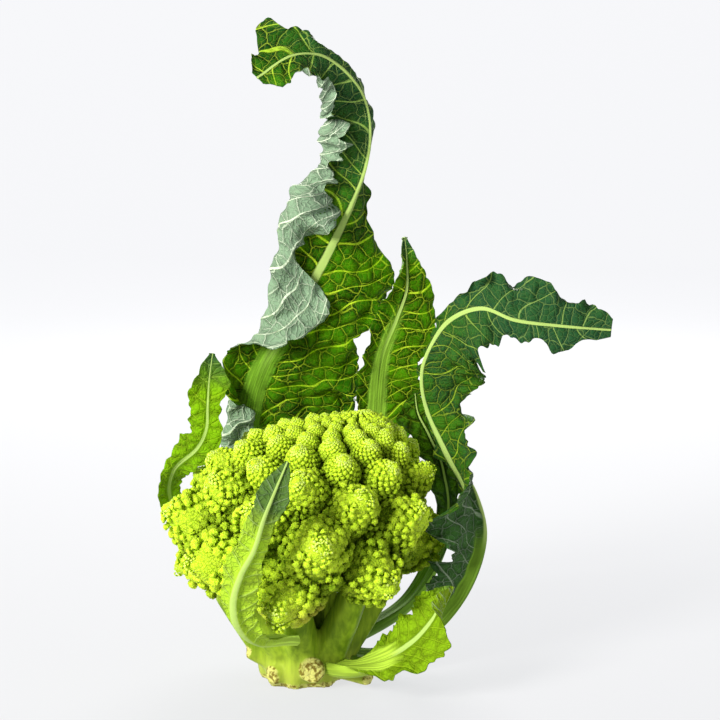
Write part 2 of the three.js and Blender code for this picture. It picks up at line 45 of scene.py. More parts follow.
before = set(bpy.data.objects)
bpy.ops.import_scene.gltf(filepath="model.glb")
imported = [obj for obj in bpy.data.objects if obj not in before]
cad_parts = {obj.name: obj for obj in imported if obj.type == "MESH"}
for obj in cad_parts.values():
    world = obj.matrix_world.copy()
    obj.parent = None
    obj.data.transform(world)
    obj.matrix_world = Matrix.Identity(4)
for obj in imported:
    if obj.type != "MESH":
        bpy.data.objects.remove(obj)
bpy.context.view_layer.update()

MM = 0.001
FULL_TURN = 2 * math.pi
GOLDEN = math.pi * (3 - math.sqrt(5))  # turn from one floret to the next

# The curd. These values are the solid model's own.
CURD_PROFILE = [
    # radius, height, shift to the right, shift to the back
    [0, 152, 32, 6], [12, 146, 26, 6], [26, 139, 16, 5], [39, 129, 9, 5],
    [49, 115, 3, 3], [56, 96, -3, 0], [57, 76, -4, 0], [47, 61, -1, 0],
]
CURD_TURN = 2.1  # where the spiral of florets starts, in radians
FLORET_SHARE = 0.4  # width of a floret, as a share of its way to the tip
FLORET_MOST = 37  # width of the widest
FLORET_PACKING = 0.8  # less sets the florets closer
CORE_INSET = 5
# The buds of a floret. The first three are shares of its width.
BUD_SHARE = 0.38
BUD_MOST = 0.155
BUD_LEAST = 0.018
BUD_PACKING = 0.72  # less sets the buds closer
BUD_ROUGHEST = 4.8  # a wider bud carries two crossing sets of five and eight spirals
BUD_ROUGH = 2.7  # a wider one carries three and five, and a narrower one is a plain knob
LEAST_KNOB = 0.9  # a narrower bud is left out
WHOLE_FLORET = 5.9  # a narrower floret is one bud
LOOSE_FROM, LOOSE_ALL = 16, 34  # from the first width to the second, florets grow uneven
CONE_RISE = 0.68  # height of a floret, as a share of its width
CONE_POWER = 1.5  # 2 is a round dome and 1 a straight cone
# Pieces of the curd, by the numbers of their first floret and the one after their last
FLORET_GROUPS = {
    "curd_lower_florets": (0, 11),
    "curd_middle_florets": (11, 23),
    "curd_upper_florets": (23, 42),
    "curd_crown": (42, 999),
}

# The stem
TRUNK_PROFILE = [[0, 0], [22, 0], [25, 4], [26, 13], [23, 30], [19, 56], [14, 82], [0, 84]]
TRUNK_SHIFT = -4
TRUNK_SIDES = 96
TRUNK_RINGS = 58
TRUNK_HEIGHT = 84
STALK_FOOT = [14, 14]
STALK_RADII = [12, 9]
STALK_SLIMMING = 0.86
STALKS = 9
STUBS = [
    {"foot": [-16, -8, 12], "end": [-35, -14, 19], "radii": [8, 3.5]},
    {"foot": [-12, -14, 9], "end": [-22, -22, 7], "radii": [7, 5]},
    {"foot": [12, -8, 10], "end": [33, -24, 6], "radii": [7, 4]},
    {"foot": [2, -12, 13], "end": [1, -30, 12], "radii": [9, 7]},
]
SIDE_STALK = {"path": [[-15, -5, 8], [-30, -10, 28], [-46, -14, 54]], "radii": [9.5, 8]}
STEM_GRAIN = 1.4  # size of the cells that melt the stem's bars into one body

# The leaves. Every list holds one value per midrib point, from the foot to the tip. A half's fold
# is the angle at which it leaves the midrib, and its curl the further turn that it takes between
# the two shares of its width that bend gives, in degrees.
PLAIN_BEND = [0.12, 0.88]
ROUND_TIP = 7  # length over which a leaf's tip is rounded
NARROW = 14  # a half narrower than this has lower teeth and folds
LEAVES = [
    {
        "name": "leaf_tall_curled",
        "rib": [7, 7, 5.5, 5, 4.5, 4, 3.4, 2.8, 2.2, 1.7, 1.4, 1.2, 1],
        "midrib": [
            [-8, 19, 18], [-28, 66, 44], [-43, 91, 90], [-38, 80, 138], [-28, 68, 168],
            [-10, 58, 198], [13, 55, 241], [29, 52, 275], [34, 47, 303], [28, 38, 327],
            [9, 24, 345], [-10, 12, 346], [-28, 2, 334],
        ],
        "face": [
            [0.2, -0.4, 1], [0.3, -0.9, 0.5], [0.3, -1, 0.1], [0.1, -1, 0], [0.1, -1, 0],
            [0.1, -1, 0], [0.1, -1, 0], [0, -1, 0], [-0.1, -1, 0], [-0.2, -1, 0], [-0.1, -1, 0.2],
            [0, -1, 0.5], [0, -1, 0.6],
        ],
        "left": {
            "width": [8, 7, 22, 36, 24, 56, 75, 58, 54, 43, 28, 26, 8],
            "fold": [20, 20, 10, 10, 10, 5, 5, 5, 5, 10, 10, 10, 0],
            "curl": [0, 0, 120, 185, 10, 185, 195, 195, 190, 175, 110, 30, 0],
            "bend": [
                [0.3, 0.3, 0.3, 0.26, 0.26, 0.22, 0.33, 0.36, 0.36, 0.46, 0.4, 0.3, 0.3],
                [0.7, 0.7, 0.7, 0.66, 0.66, 0.48, 0.72, 0.78, 0.8, 0.86, 0.9, 0.8, 0.8],
            ],
        },
        "right": {
            "width": [8, 7, 18, 56, 60, 48, 44, 12, 14, 9, 8, 27, 9],
            "fold": [20, 20, 10, 0, -5, -5, -10, -80, -85, -80, -40, -10, 0],
            "curl": [0, 0, 0, 0, -10, -15, -20, -20, -20, 0, 20, 20, 0],
            "bend": PLAIN_BEND,
        },
        "lobes": {"count": 11, "depth": 0.2},
        "evened": 0.045,
        "ruffle": {"height": 3, "waves": 9, "phase": 0.4},
    },
    {
        "name": "leaf_back_upright",
        "rib": [6, 5.5, 4.6, 4, 3.2, 2.4, 1.8, 1.3, 1],
        "midrib": [
            [5, 18, 16], [24, 60, 42], [36, 80, 92], [37, 72, 140], [40, 58, 173], [48, 52, 195],
            [54, 49, 213], [54, 46, 230], [52.5, 42, 244],
        ],
        "face": [
            [0, -0.4, 1], [-0.3, -0.9, 0.4], [-0.2, -1, 0], [0, -1, 0], [0, -1, 0], [0, -1, 0],
            [0.2, -1, 0], [0.5, -1, 0], [0.8, -1, 0],
        ],
        "left": {
            "width": [6, 6, 6, 12, 14, 15, 11, 7, 2.5],
            "fold": [20, 20, 10, 10, 20, 15, 10, 10, 10],
            "curl": [0, 0, 0, 10, 20, 20, 30, 40, 30],
            "bend": PLAIN_BEND,
        },
        "right": {
            "width": [6, 6, 6, 26, 26, 27, 18, 7, 2.5],
            "fold": [20, 20, 10, 5, 0, 0, 5, 20, 30],
            "curl": [0, 0, 0, 10, 10, -15, -20, 20, 60],
            "bend": PLAIN_BEND,
        },
        "lobes": {"count": 7, "depth": 0.16},
        "evened": 0.045,
        "ruffle": {"height": 2, "waves": 6, "phase": 1.2},
    },
    {
        "name": "leaf_right_arching",
        "rib": [8, 7, 6, 5.4, 5.2, 5, 4.2, 3.4, 2.8, 2.5, 2.3, 2.1, 1.9, 1.6, 1.3, 1],
        "midrib": [
            [15, 2, 14], [36, 1, 11.5], [57, 3, 20], [77, 5, 37], [89.3, 6, 58], [94, 6, 80],
            [88.7, 8, 103], [75, 12, 127], [64, 14, 150], [61, 11, 170], [66, 6, 187], [77, 2, 202],
            [94, -4, 209], [112, -8, 203], [135, -8, 200], [165, -4, 197],
        ],
        "face": [
            [0, -0.3, 1], [-0.3, -0.2, 1], [-0.6, -0.2, 0.7], [-0.8, -0.2, 0.5], [-1, -0.3, 0.2],
            [-1, -0.4, 0], [-0.9, -0.6, -0.2], [-0.5, -1, 0], [-0.2, -1, 0], [-0.2, -1, 0.1],
            [-0.1, -1, 0.2], [0, -1, 0.3], [0, -1, 0.3], [0, -1, 0.2], [0, -1, 0.3], [0, -1, 0.4],
        ],
        "left": {
            "width": [8, 7, 6.5, 6, 6, 6, 7, 10, 10, 10, 9, 8, 17, 27, 22, 13],
            "fold": [25, 25, 20, 20, 20, 20, 10, -20, -75, -80, -70, -30, 0, 5, 5, 5],
            "curl": [0, 0, 0, 0, 0, 0, 0, -20, -20, -10, 0, 10, 10, -10, 10, 10],
            "bend": PLAIN_BEND,
        },
        "right": {
            "width": [8, 7, 12, 26, 32, 36, 56, 24, 32, 37, 38, 36, 26, 13, 16, 8],
            "fold": [25, 25, 40, 55, 52, 48, 43, 20, 5, 5, 5, 0, 0, -5, 0, 5],
            "curl": [0, 0, 10, 20, 20, 25, 35, 0, -20, -20, -15, -10, -20, -30, -20, 0],
            "bend": PLAIN_BEND,
        },
        "lobes": {"count": 12, "depth": 0.22},
        "evened": 0.17,
        "ruffle": {"height": 2.4, "waves": 10, "phase": 2.0},
    },
    {
        "name": "leaf_left_upright",
        "rib": [6, 5, 4.4, 4, 3.6, 3, 2.4, 1.8, 1.2, 0.9],
        "midrib": [
            [-19, 8, 14], [-40, 42, 34], [-64, 56, 62], [-81, 40, 92], [-78, 22, 114],
            [-64, 12, 128], [-58, 8, 140], [-57, 6, 153], [-56, 5, 168], [-54, 5, 183],
        ],
        "face": [
            [0.3, 0, 1], [0.6, -0.3, 0.7], [0.9, -0.4, 0.3], [0.8, -0.7, 0], [0.6, -0.9, -0.1],
            [0.4, -0.9, 0.2], [0.3, -1, 0.1], [0.3, -1, 0], [0.3, -1, 0], [0.5, -1, 0],
        ],
        "left": {
            "width": [6, 6, 6, 8, 7, 12, 11, 12, 10, 2.5],
            "fold": [20, 20, 10, 0, 0, 0, -5, -10, 0, 0],
            "curl": [0, 0, 0, 0, -20, -30, -30, -10, 10, 20],
            "bend": PLAIN_BEND,
        },
        "right": {
            "width": [6, 6, 6, 8, 9, 12, 12, 8, 12, 2.5],
            "fold": [20, 20, 10, 10, 20, 20, 15, 10, 10, 10],
            "curl": [0, 0, 0, 10, 20, 0, 0, 10, 20, 30],
            "bend": PLAIN_BEND,
        },
        "lobes": {"count": 7, "depth": 0.18},
        "evened": 0.045,
        "ruffle": {"height": 1.6, "waves": 6, "phase": 0.2},
    },
    {
        "name": "leaf_front_folded",
        "rib": [5, 4.4, 3.8, 3.2, 2.8, 2.4, 2, 1.6, 1.2, 0.9],
        "midrib": [
            [-2, -16, 27], [-13, -42, 34], [-27, -62, 39], [-36, -76, 51], [-38, -84, 66],
            [-34, -89, 81], [-27, -93, 95], [-22, -93, 111], [-16, -88, 125], [-10, -80, 138],
        ],
        "face": [
            [0, 0.2, 1], [0.1, 0.3, 1], [0.4, 0.4, 0.9], [0.3, 0.8, 0.6], [0.1, 1, 0.3],
            [-0.1, 1, 0.1], [-0.2, 1, 0], [-0.3, 1, -0.1], [-0.3, 1, -0.2], [-0.1, 1, -0.4],
        ],
        "left": {
            "width": [5, 5, 8, 11, 13, 12, 8, 8, 9, 2],
            "fold": [20, 20, 10, 10, 10, 10, 10, 15, 0, 0],
            "curl": [0, 0, 10, 20, 20, 10, 10, 0, -60, -60],
            "bend": PLAIN_BEND,
        },
        "right": {
            "width": [5, 5, 5, 5, 8, 10, 10, 8, 8, 2],
            "fold": [20, 20, 20, 10, 10, 10, 10, 10, 10, 0],
            "curl": [0, 0, 0, 10, 10, 0, -10, 0, 20, 20],
            "bend": PLAIN_BEND,
        },
        "lobes": {"count": 7, "depth": 0.16},
        "evened": 0.045,
        "ruffle": {"height": 1.2, "waves": 6, "phase": 0.9},
    },
    {
        "name": "leaf_front_small",
        "rib": [7, 6.4, 5.4, 4, 3, 2, 1.2],
        "midrib": [
            [8, -14, 12], [23, -32, 15], [41, -42, 22], [56, -46, 33], [66, -48, 45], [72, -48, 56],
            [77, -46, 64],
        ],
        "face": [
            [0, -0.1, 1], [-0.1, 0, 1], [-0.3, 0.1, 0.9], [-0.5, 0.2, 0.8], [-0.7, 0, 0.6],
            [-0.8, -0.3, 0.4], [-0.8, -0.5, 0.4],
        ],
        "left": {
            "width": [7, 7, 13, 18, 17, 12, 3],
            "fold": [25, 25, 50, 60, 50, 40, 30],
            "curl": [0, 0, 10, 10, 10, 20, 20],
            "bend": PLAIN_BEND,
        },
        "right": {
            "width": [7, 7, 15, 21, 21, 14, 3],
            "fold": [25, 20, -25, -45, -30, 20, 50],
            "curl": [0, 0, -10, -10, 0, 60, 60],
            "bend": PLAIN_BEND,
        },
        "lobes": {"count": 5, "depth": 0.18},
        "evened": 0.045,
        "ruffle": {"height": 1.5, "waves": 5, "phase": 0},
    },
    {
        "name": "leaf_back_dark",
        "rib": [6, 5.4, 4.4, 3.4, 2.6, 1.8, 1],
        "midrib": [
            [14, 13, 16], [56, 42, 34], [78, 54, 76], [76, 52, 108], [68, 50, 128], [61, 48, 142],
            [59, 45, 154],
        ],
        "face": [
            [-0.2, 0, 1], [-0.7, -0.4, 0.6], [-0.8, -0.7, 0], [-0.6, -1, 0], [-0.4, -1, 0],
            [-0.2, -1, 0.1], [0, -1, 0.2],
        ],
        "left": {
            "width": [6, 6, 8, 14, 17, 14, 3],
            "fold": [20, 20, 10, 0, 0, 0, 0],
            "curl": [0, 0, 0, -10, -20, -10, 0],
            "bend": PLAIN_BEND,
        },
        "right": {
            "width": [6, 6, 9, 12, 15, 12, 3],
            "fold": [20, 20, 10, 10, 10, 5, 0],
            "curl": [0, 0, 0, 20, 20, 20, 0],
            "bend": PLAIN_BEND,
        },
        "lobes": {"count": 5, "depth": 0.18},
        "evened": 0.045,
        "ruffle": {"height": 2, "waves": 5, "phase": 1},
    },
]
# What only the finer leaf has. Of two values the first is for the left half or the upper side.
# step and cells: length of a row, and cells from the midrib to the margin
# ragged: share that the gaps between lobes take off the width
# wave, frill: degrees by which the margin swings, and height of its frills
# tooth, teeth_apart: depth and distance of the teeth
# notches: half (-1 is left), share along the leaf, reach and depth of each deep notch
# crumple, pucker: heights of the folds, and of the swellings between veins
# vein_gap, vein_width, veined: distance, half width and strength of the side veins
# glow: share of light that shines through
# deep, bloom: how bright the painted shade in the hollows is, which also sets the painted light on the
# swellings, and how much wax covers the blade
# dark, dark_below: (share along the leaf, darkness) pairs, and how far the under side follows
# stalk, stalk_green: shares between which the stalk ends, and its colour
# rib_line, dry_foot: drawn share of the midrib, and length of the dried end
USUAL_LOOK = {"dry_foot": 9, "dark_below": 0.0, "notches": []}
LEAF_LOOKS = {
    "leaf_tall_curled": {
        "step": 1.25, "cells": 36, "seed": 11,
        "ragged": (0.22, 0), "wave": 34, "frill": 1.6, "tooth": 2.2, "teeth_apart": 5.5,
        "notches": [
            (1, 0.54, 0.022, 0.6), (-1, 0.47, 0.015, 0.3), (-1, 0.6, 0.014, 0.35),
            (-1, 0.72, 0.012, 0.35), (-1, 0.9, 0.02, 0.45), (-1, 0.945, 0.008, 0.35),
            (1, 0.955, 0.01, 0.35), (1, 0.9, 0.012, 0.3),
        ],
        "crumple": 2.2, "pucker": 1.9, "vein_gap": 15, "vein_width": 0.55, "veined": (0.82, 0.9),
        "upper": (0.009, 0.068, 0.001), "under": (0.18, 0.275, 0.17), "glow": (0.3, 0.1),
        "deep": 0.12, "bloom": 0.04, "dark": [(0.5, 0), (0.64, 0.85), (0.85, 0.85), (0.93, 0.2)],
        "stalk": (0.3, 0.46), "stalk_green": (0.14, 0.29, 0.02), "rib_line": 0.8,
    },
    "leaf_back_upright": {
        "step": 1.1, "cells": 26, "seed": 12,
        "ragged": (0.08, 0.08), "wave": 24, "frill": 0.8, "tooth": 1.6, "teeth_apart": 5.5,
        "notches": [(-1, 0.55, 0.03, 0.2)],
        "crumple": 0.9, "pucker": 1.2, "vein_gap": 12, "vein_width": 0.4, "veined": (0.85, 0.7),
        "upper": (0.013, 0.078, 0.001), "under": (0.12, 0.25, 0.03), "glow": (0.3, 0.2),
        "deep": 0.15, "bloom": 0.0, "dark": [(0.86, 0), (0.97, 1)],
        "stalk": (0.45, 0.75), "stalk_green": (0.16, 0.3, 0.025), "rib_line": 0.5,
    },
    "leaf_right_arching": {
        "step": 1.05, "cells": 30, "seed": 13,
        "ragged": (0.1, 0.3), "wave": 52, "frill": 4.5, "tooth": 2.0, "teeth_apart": 7,
        "notches": [
            (-1, 0.943, 0.012, 0.5), (-1, 0.855, 0.005, 0.1), (-1, 0.98, 0.008, 0.3),
            (1, 0.91, 0.014, 0.65), (1, 0.965, 0.008, 0.5), (1, 0.66, 0.015, 0.35),
            (1, 0.44, 0.012, 0.4), (1, 0.2, 0.012, 0.3), (1, 0.29, 0.01, 0.2),
        ],
        "crumple": 2.4, "pucker": 1.3, "vein_gap": 17, "vein_width": 0.36, "veined": (0.55, 0.3),
        "upper": (0.016, 0.07, 0.003), "under": (0.03, 0.09, 0.02), "glow": (0.2, 0.12),
        "deep": 0.2, "bloom": 0.28, "dark": [(0.3, 0.5), (0.42, 0.1), (0.66, 0.2), (0.84, 0.9)],
        "stalk": (0.3, 0.36), "stalk_green": (0.11, 0.21, 0.018), "rib_line": 0.75,
    },
    "leaf_left_upright": {
        "step": 1.1, "cells": 20, "seed": 14,
        "ragged": (0.1, 0.1), "wave": 18, "frill": 0.5, "tooth": 3.4, "teeth_apart": 8,
        "notches": [(-1, 0.62, 0.02, 0.3), (1, 0.72, 0.025, 0.35)],
        "crumple": 0.5, "pucker": 0.5, "vein_gap": 10, "vein_width": 0.4, "veined": (0.3, 0.3),
        "upper": (0.15, 0.3, 0.005), "under": (0.24, 0.4, 0.03), "glow": (0.34, 0.3),
        "deep": 0.6, "bloom": 0.0, "dark": [(0.84, 0), (0.97, 1)],
        "stalk": (0.1, 0.25), "stalk_green": (0.22, 0.36, 0.03), "rib_line": 0.42,
    },
    "leaf_front_folded": {
        "step": 0.9, "cells": 20, "seed": 15,
        "ragged": (0.1, 0.1), "wave": 22, "frill": 0.9, "tooth": 1.8, "teeth_apart": 5,
        "crumple": 0.4, "pucker": 0.35, "vein_gap": 9, "vein_width": 0.4, "veined": (0.1, 0.08),
        "upper": (0.34, 0.54, 0.03), "under": (0.4, 0.6, 0.035), "glow": (0.24, 0.24),
        "deep": 0.7, "bloom": 0.0, "dark": [(0.7, 0), (0.82, 1)], "dark_below": 0.85,
        "stalk": (0.1, 0.25), "stalk_green": (0.36, 0.52, 0.07), "rib_line": 0.6, "dry_foot": 17,
    },
    "leaf_front_small": {
        "step": 0.8, "cells": 28, "seed": 16,
        "ragged": (0.12, 0.12), "wave": 40, "frill": 1.4, "tooth": 2.6, "teeth_apart": 5,
        "notches": [(1, 0.72, 0.03, 0.35), (-1, 0.6, 0.04, 0.3)],
        "crumple": 0.7, "pucker": 0.6, "vein_gap": 8, "vein_width": 0.42, "veined": (0.25, 0.2),
        "upper": (0.16, 0.28, 0.006), "under": (0.21, 0.34, 0.008), "glow": (0.2, 0.2),
        "deep": 0.7, "bloom": 0.0, "dark": [(0.84, 0), (1, 1)],
        "stalk": (0.35, 0.45), "stalk_green": (0.24, 0.36, 0.03), "rib_line": 0.5,
    },
    "leaf_back_dark": {
        "step": 1.1, "cells": 22, "seed": 17,
        "ragged": (0.12, 0.12), "wave": 30, "frill": 1.0, "tooth": 2.0, "teeth_apart": 6.5,
        "notches": [(-1, 0.7, 0.04, 0.35)],
        "crumple": 0.8, "pucker": 1.1, "vein_gap": 11, "vein_width": 0.45, "veined": (0.12, 0.3),
        "upper": (0.035, 0.11, 0.004), "under": (0.05, 0.12, 0.015), "glow": (0.2, 0.1),
        "deep": 0.2, "bloom": 0.0, "dark": [(0.3, 0.8), (0.55, 0)],
        "stalk": (0.3, 0.42), "stalk_green": (0.1, 0.2, 0.02), "rib_line": 0.3,
    },
}

# The photograph's point of view, and the lamps, in metres
CAMERA_TARGET = (0.0275, 0.0, 0.18)
CAMERA_DISTANCE = 1.2
CAMERA_ELEVATION = math.radians(8)
CAMERA_LENS = 109.1
LAMP_TARGET = (0.02, 0, 0.15)
KEY_LAMP = (-1.05, -1.25, 0.8)
BACK_LAMP = (0.1, 1.35, 0.95)
FILL_LAMP = (1.3, -0.9, 0.6)


# Numbers along curves and surfaces


def along(values, t):
    """The values at shares t of the way through them, on a smooth curve through all."""
    values = np.asarray(values, float)
    t = np.asarray(t, float)
    last = len(values) - 1
    span = np.minimum((t * last).astype(int), last - 1)
    f = t * last - span
    if values.ndim > 1:
        f = f[..., None]
    a, b, c, d = (values[np.clip(span + k, 0, last)] for k in (-1, 0, 1, 2))
    return 0.5 * (2 * b + f * (c - a + f * (2 * a - 5 * b + 4 * c - d + f * (3 * b - a - 3 * c + d))))


def smooth(start, end, x):
    """0 before start and 1 after end, with a soft change between."""
    share = np.clip((x - start) / (end - start), 0, 1)
    return share * share * (3 - 2 * share)


def unit(vectors):
    return vectors / np.linalg.norm(vectors, axis=-1, keepdims=True)


def scatter(index, kind):
    """The solid model's own number from 0 to 1 for a floret."""
    wild = math.sin(index * 12.9898 + kind * 78.233) * 43758.5453
    return wild - math.floor(wild)


def unevenness(u, v, seed):
    """Smooth waves from about -1 to 1, one unit long, the same for the same seed."""
    draws = np.random.default_rng(seed)
    total = 0
    for _ in range(8):
        way, phase = draws.uniform(0, FULL_TURN, 2)
        pitch = draws.uniform(0.5, 1.5)
        total = total + np.sin(FULL_TURN * pitch * (u * math.cos(way) + v * math.sin(way)) + phase)
    return total / 4


def basis(axes, spins):
    """Turning matrices that take +Z to each axis after a spin round it."""
    axes = unit(np.asarray(axes, float))
    helper = np.where(np.abs(axes[:, 2:3]) > 0.9, [[1.0, 0, 0]], [[0, 0, 1.0]])
    across = unit(np.cross(helper, axes))
    beside = np.cross(axes, across)
    c, s = np.cos(spins)[:, None], np.sin(spins)[:, None]
    return np.stack([across * c + beside * s, beside * c - across * s, axes], axis=-1)


def ring_angles(sides):
    return np.arange(sides) * FULL_TURN / sides


def skin_faces(sides, rings, ends):
    """Triangles between rings of points, and from the rings at both ends to two last points."""
    faces = []
    for i in range(rings - 1):
        for k in range(sides):
            a, b = i * sides + k, i * sides + (k + 1) % sides
            faces += [[a, a + sides, b + sides], [a, b + sides, b]]
    last = (rings - 1) * sides
    for k in range(sides):
        following = (k + 1) % sides
        faces += [[k, following, ends], [last + following, last + k, ends + 1]]
    return np.array(faces)


def new_piece(name, points, faces, notes, material, node):
    """A mesh of millimetre points that rides on the head and stands for a solid node."""
    mesh = bpy.data.meshes.new(name)
    mesh.vertices.add(len(points))
    mesh.vertices.foreach_set("co", (np.asarray(points) * MM).astype(np.float32).ravel())
    mesh.loops.add(faces.size)
    mesh.loops.foreach_set("vertex_index", faces.ravel().astype(np.int32))
    mesh.polygons.add(len(faces))
    starts = np.arange(len(faces)) * faces.shape[1]
    mesh.polygons.foreach_set("loop_start", starts.astype(np.int32))
    mesh.update(calc_edges=True)
    mesh.shade_smooth()
    for note, values in notes.items():
        kind = "FLOAT_VECTOR" if np.ndim(values) == 2 else "FLOAT"
        field = "vector" if kind == "FLOAT_VECTOR" else "value"
        attribute = mesh.attributes.new(note, kind, "POINT")
        attribute.data.foreach_set(field, np.asarray(values, np.float32).ravel())
    mesh.materials.append(material)
    piece = bpy.data.objects.new(name, mesh)
    bpy.context.scene.collection.objects.link(piece)
    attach(piece, "root")
    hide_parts(node)


# Shader maths


class Field:
    """A number that varies over a surface, so that formulas can be written as they are."""

    def __init__(self, recipe, socket):
        self.recipe = recipe
        self.socket = socket

    def sum_of(self, operation, *terms):
        node = self.recipe.node("ShaderNodeMath", {"operation": operation}, *terms)
        return Field(self.recipe, node.outputs[0])

    def __add__(self, other):
        return self.sum_of("ADD", self, other)

    def __sub__(self, other):
        return self.sum_of("SUBTRACT", self, other)

    def __rsub__(self, other):
        return self.sum_of("SUBTRACT", other, self)

    def __mul__(self, other):
        return self.sum_of("MULTIPLY", self, other)

    def __truediv__(self, other):
        return self.sum_of("DIVIDE", self, other)

    def __abs__(self):
        return self.sum_of("ABSOLUTE", self)

    __radd__ = __add__
    __rmul__ = __mul__

    def most(self, other):
        return self.sum_of("MAXIMUM", self, other)

    def fraction(self):
        return self.sum_of("FRACT", self)

    def between(self, low, high):
        """0 below low and 1 above high, with a soft change between."""
        settings = {"interpolation_type": "SMOOTHSTEP"}
        node = self.recipe.node("ShaderNodeMapRange", settings, self, low, high, 0.0, 1.0)
        return Field(self.recipe, node.outputs[0])


class Recipe:
    """One material and its nodes."""

    def __init__(self, name):
        self.material = bpy.data.materials.new(name)
        self.material.use_nodes = True
        self.tree = self.material.node_tree
        self.tree.nodes.clear()
        self.out = self.tree.nodes.new("ShaderNodeOutputMaterial")

    def put(self, socket, value):
        if isinstance(value, Field):
            self.tree.links.new(value.socket, socket)
        elif isinstance(value, bpy.types.NodeSocket):
            self.tree.links.new(value, socket)
        elif isinstance(value, (tuple, list)) and len(value) == 3 and socket.type == "RGBA":
            socket.default_value = (*value, 1)
        else:
            socket.default_value = value

    def node(self, kind, settings=None, *values, **named):
        """A node of any kind: its settings first, then its sockets by place or by name."""
        node = self.tree.nodes.new(kind)
        for setting, choice in (settings or {}).items():
            setattr(node, setting, choice)
        for place, value in enumerate(values):
            if value is not None:
                self.put(node.inputs[place], value)
        for label, value in named.items():
            self.put(node.inputs[label.replace("_", " ")], value)
        return node

    def note(self, name):
        """A number kept on the mesh's points."""
        return Field(self, self.node("ShaderNodeAttribute", {"attribute_name": name}).outputs["Fac"])

    def place(self, name):
        """A place kept on the mesh's points."""
        return self.node("ShaderNodeAttribute", {"attribute_name": name}).outputs["Vector"]

    def noise(self, where, scale, detail=2.0):
        node = self.node("ShaderNodeTexNoise", {}, Vector=where, Scale=scale, Detail=detail)
        return Field(self, node.outputs["Fac"])

    def cracks(self, where, scale, flat=False):
        """Distance to the nearest border between cells."""
        settings = {"feature": "DISTANCE_TO_EDGE", "voronoi_dimensions": "2D" if flat else "3D"}
        node = self.node("ShaderNodeTexVoronoi", settings, Vector=where, Scale=scale)
        return Field(self, node.outputs["Distance"])

    def cells(self, where, scale):
        """Distance to the nearest cell's middle."""
        node = self.node("ShaderNodeTexVoronoi", {"feature": "F1"}, Vector=where, Scale=scale)
        return Field(self, node.outputs["Distance"])

    def blend(self, share, first, second):
        """Two colours mixed by a share that varies."""
        node = self.tree.nodes.new("ShaderNodeMix")
        node.data_type = "RGBA"
        self.put(node.inputs[0], share)
        self.put(node.inputs[6], first)
        self.put(node.inputs[7], second)
        return node.outputs[2]

    def shifted(self, where, amount, scale):
        """A place moved about by coarse noise, so that cell borders wander."""
        push = self.node("ShaderNodeTexNoise", {}, Vector=where, Scale=scale).outputs["Color"]
        centred = self.node("ShaderNodeVectorMath", {"operation": "SUBTRACT"}, push, (0.5, 0.5, 0.5))
        moved = self.node("ShaderNodeVectorMath", {"operation": "SCALE"}, centred.outputs[0], Scale=amount)
        added = self.node("ShaderNodeVectorMath", {"operation": "ADD"}, where, moved.outputs[0])
        return added.outputs[0]

    def stretched(self, where, shares):
        """A place whose three measures are scaled apart, so that noise is drawn out along one."""
        return self.node("ShaderNodeVectorMath", {"operation": "MULTIPLY"}, where, shares).outputs[0]

    def measure(self, where, axis):
        """One of a place's measures."""
        return Field(self, self.node("ShaderNodeSeparateXYZ", {}, where).outputs[axis])

    def bump(self, height, distance, strength):
        return self.node("ShaderNodeBump", {}, Strength=strength, Distance=distance, Height=height).outputs[0]

    def surface(self, shader):
        self.tree.links.new(shader, self.out.inputs["Surface"])
        return self.material


# Curd


def way_table(rows):
    """A profile's fine points with the way walked along them."""
    fine = along(rows, np.linspace(0, 1, 401))
    steps = np.hypot(*np.diff(fine[:, :2], axis=0).T)
    return fine, np.concatenate([[0], np.cumsum(steps)])


def on_profile(table, way):
    """Radius, height and shift at a way along a profile, and how its outside faces there."""
    fine, ways = table
    i = int(np.clip(np.searchsorted(ways, way), 1, len(ways) - 1))
    f = (way - ways[i - 1]) / (ways[i] - ways[i - 1])
    here = fine[i - 1] + (fine[i] - fine[i - 1]) * f
    radius_step, height_step = (fine[i] - fine[i - 1])[:2] / (ways[i] - ways[i - 1])
    return here, -height_step, radius_step


def floret_places():
    """Feet, axes, widths and turns of all florets, from the rim to the tip."""
    table = way_table(CURD_PROFILE)
    length = way = table[1][-1]
    places = []
    while way > 1.5:
        i = len(places)
        width = min(FLORET_SHARE * way, FLORET_MOST)
        (r, z, x, y), out, up = on_profile(table, way)
        turn = CURD_TURN + i * GOLDEN + 0.1 * (scatter(i, 1) - 0.5)
        axis = [out * math.cos(turn) + 0.1 * (scatter(i, 2) - 0.5), out * math.sin(turn)]
        axis.append(up + 0.22 + 0.1 * (scatter(i, 3) - 0.5))
        size = width * (0.94 + 0.18 * scatter(i, 4))
        foot = [r * math.cos(turn) + x, r * math.sin(turn) + y, z]
        places.append({"foot": np.array(foot), "axis": unit(np.array(axis)), "width": size, "turn": turn})
        way -= FLORET_PACKING * width * width / (2 * math.pi * max(r, 0.45 * way))
    return places, length, table


def floret_outline(share):
    """Radius and height of a floret of width 1, at shares of the way from its tip to its rim."""
    below = np.maximum(share - 1, 0)
    inside = np.minimum(share, 1)
    radius = 0.5 * (inside - 0.3 * below)
    return radius, CONE_RISE * (1 - inside ** CONE_POWER - 0.8 * below)


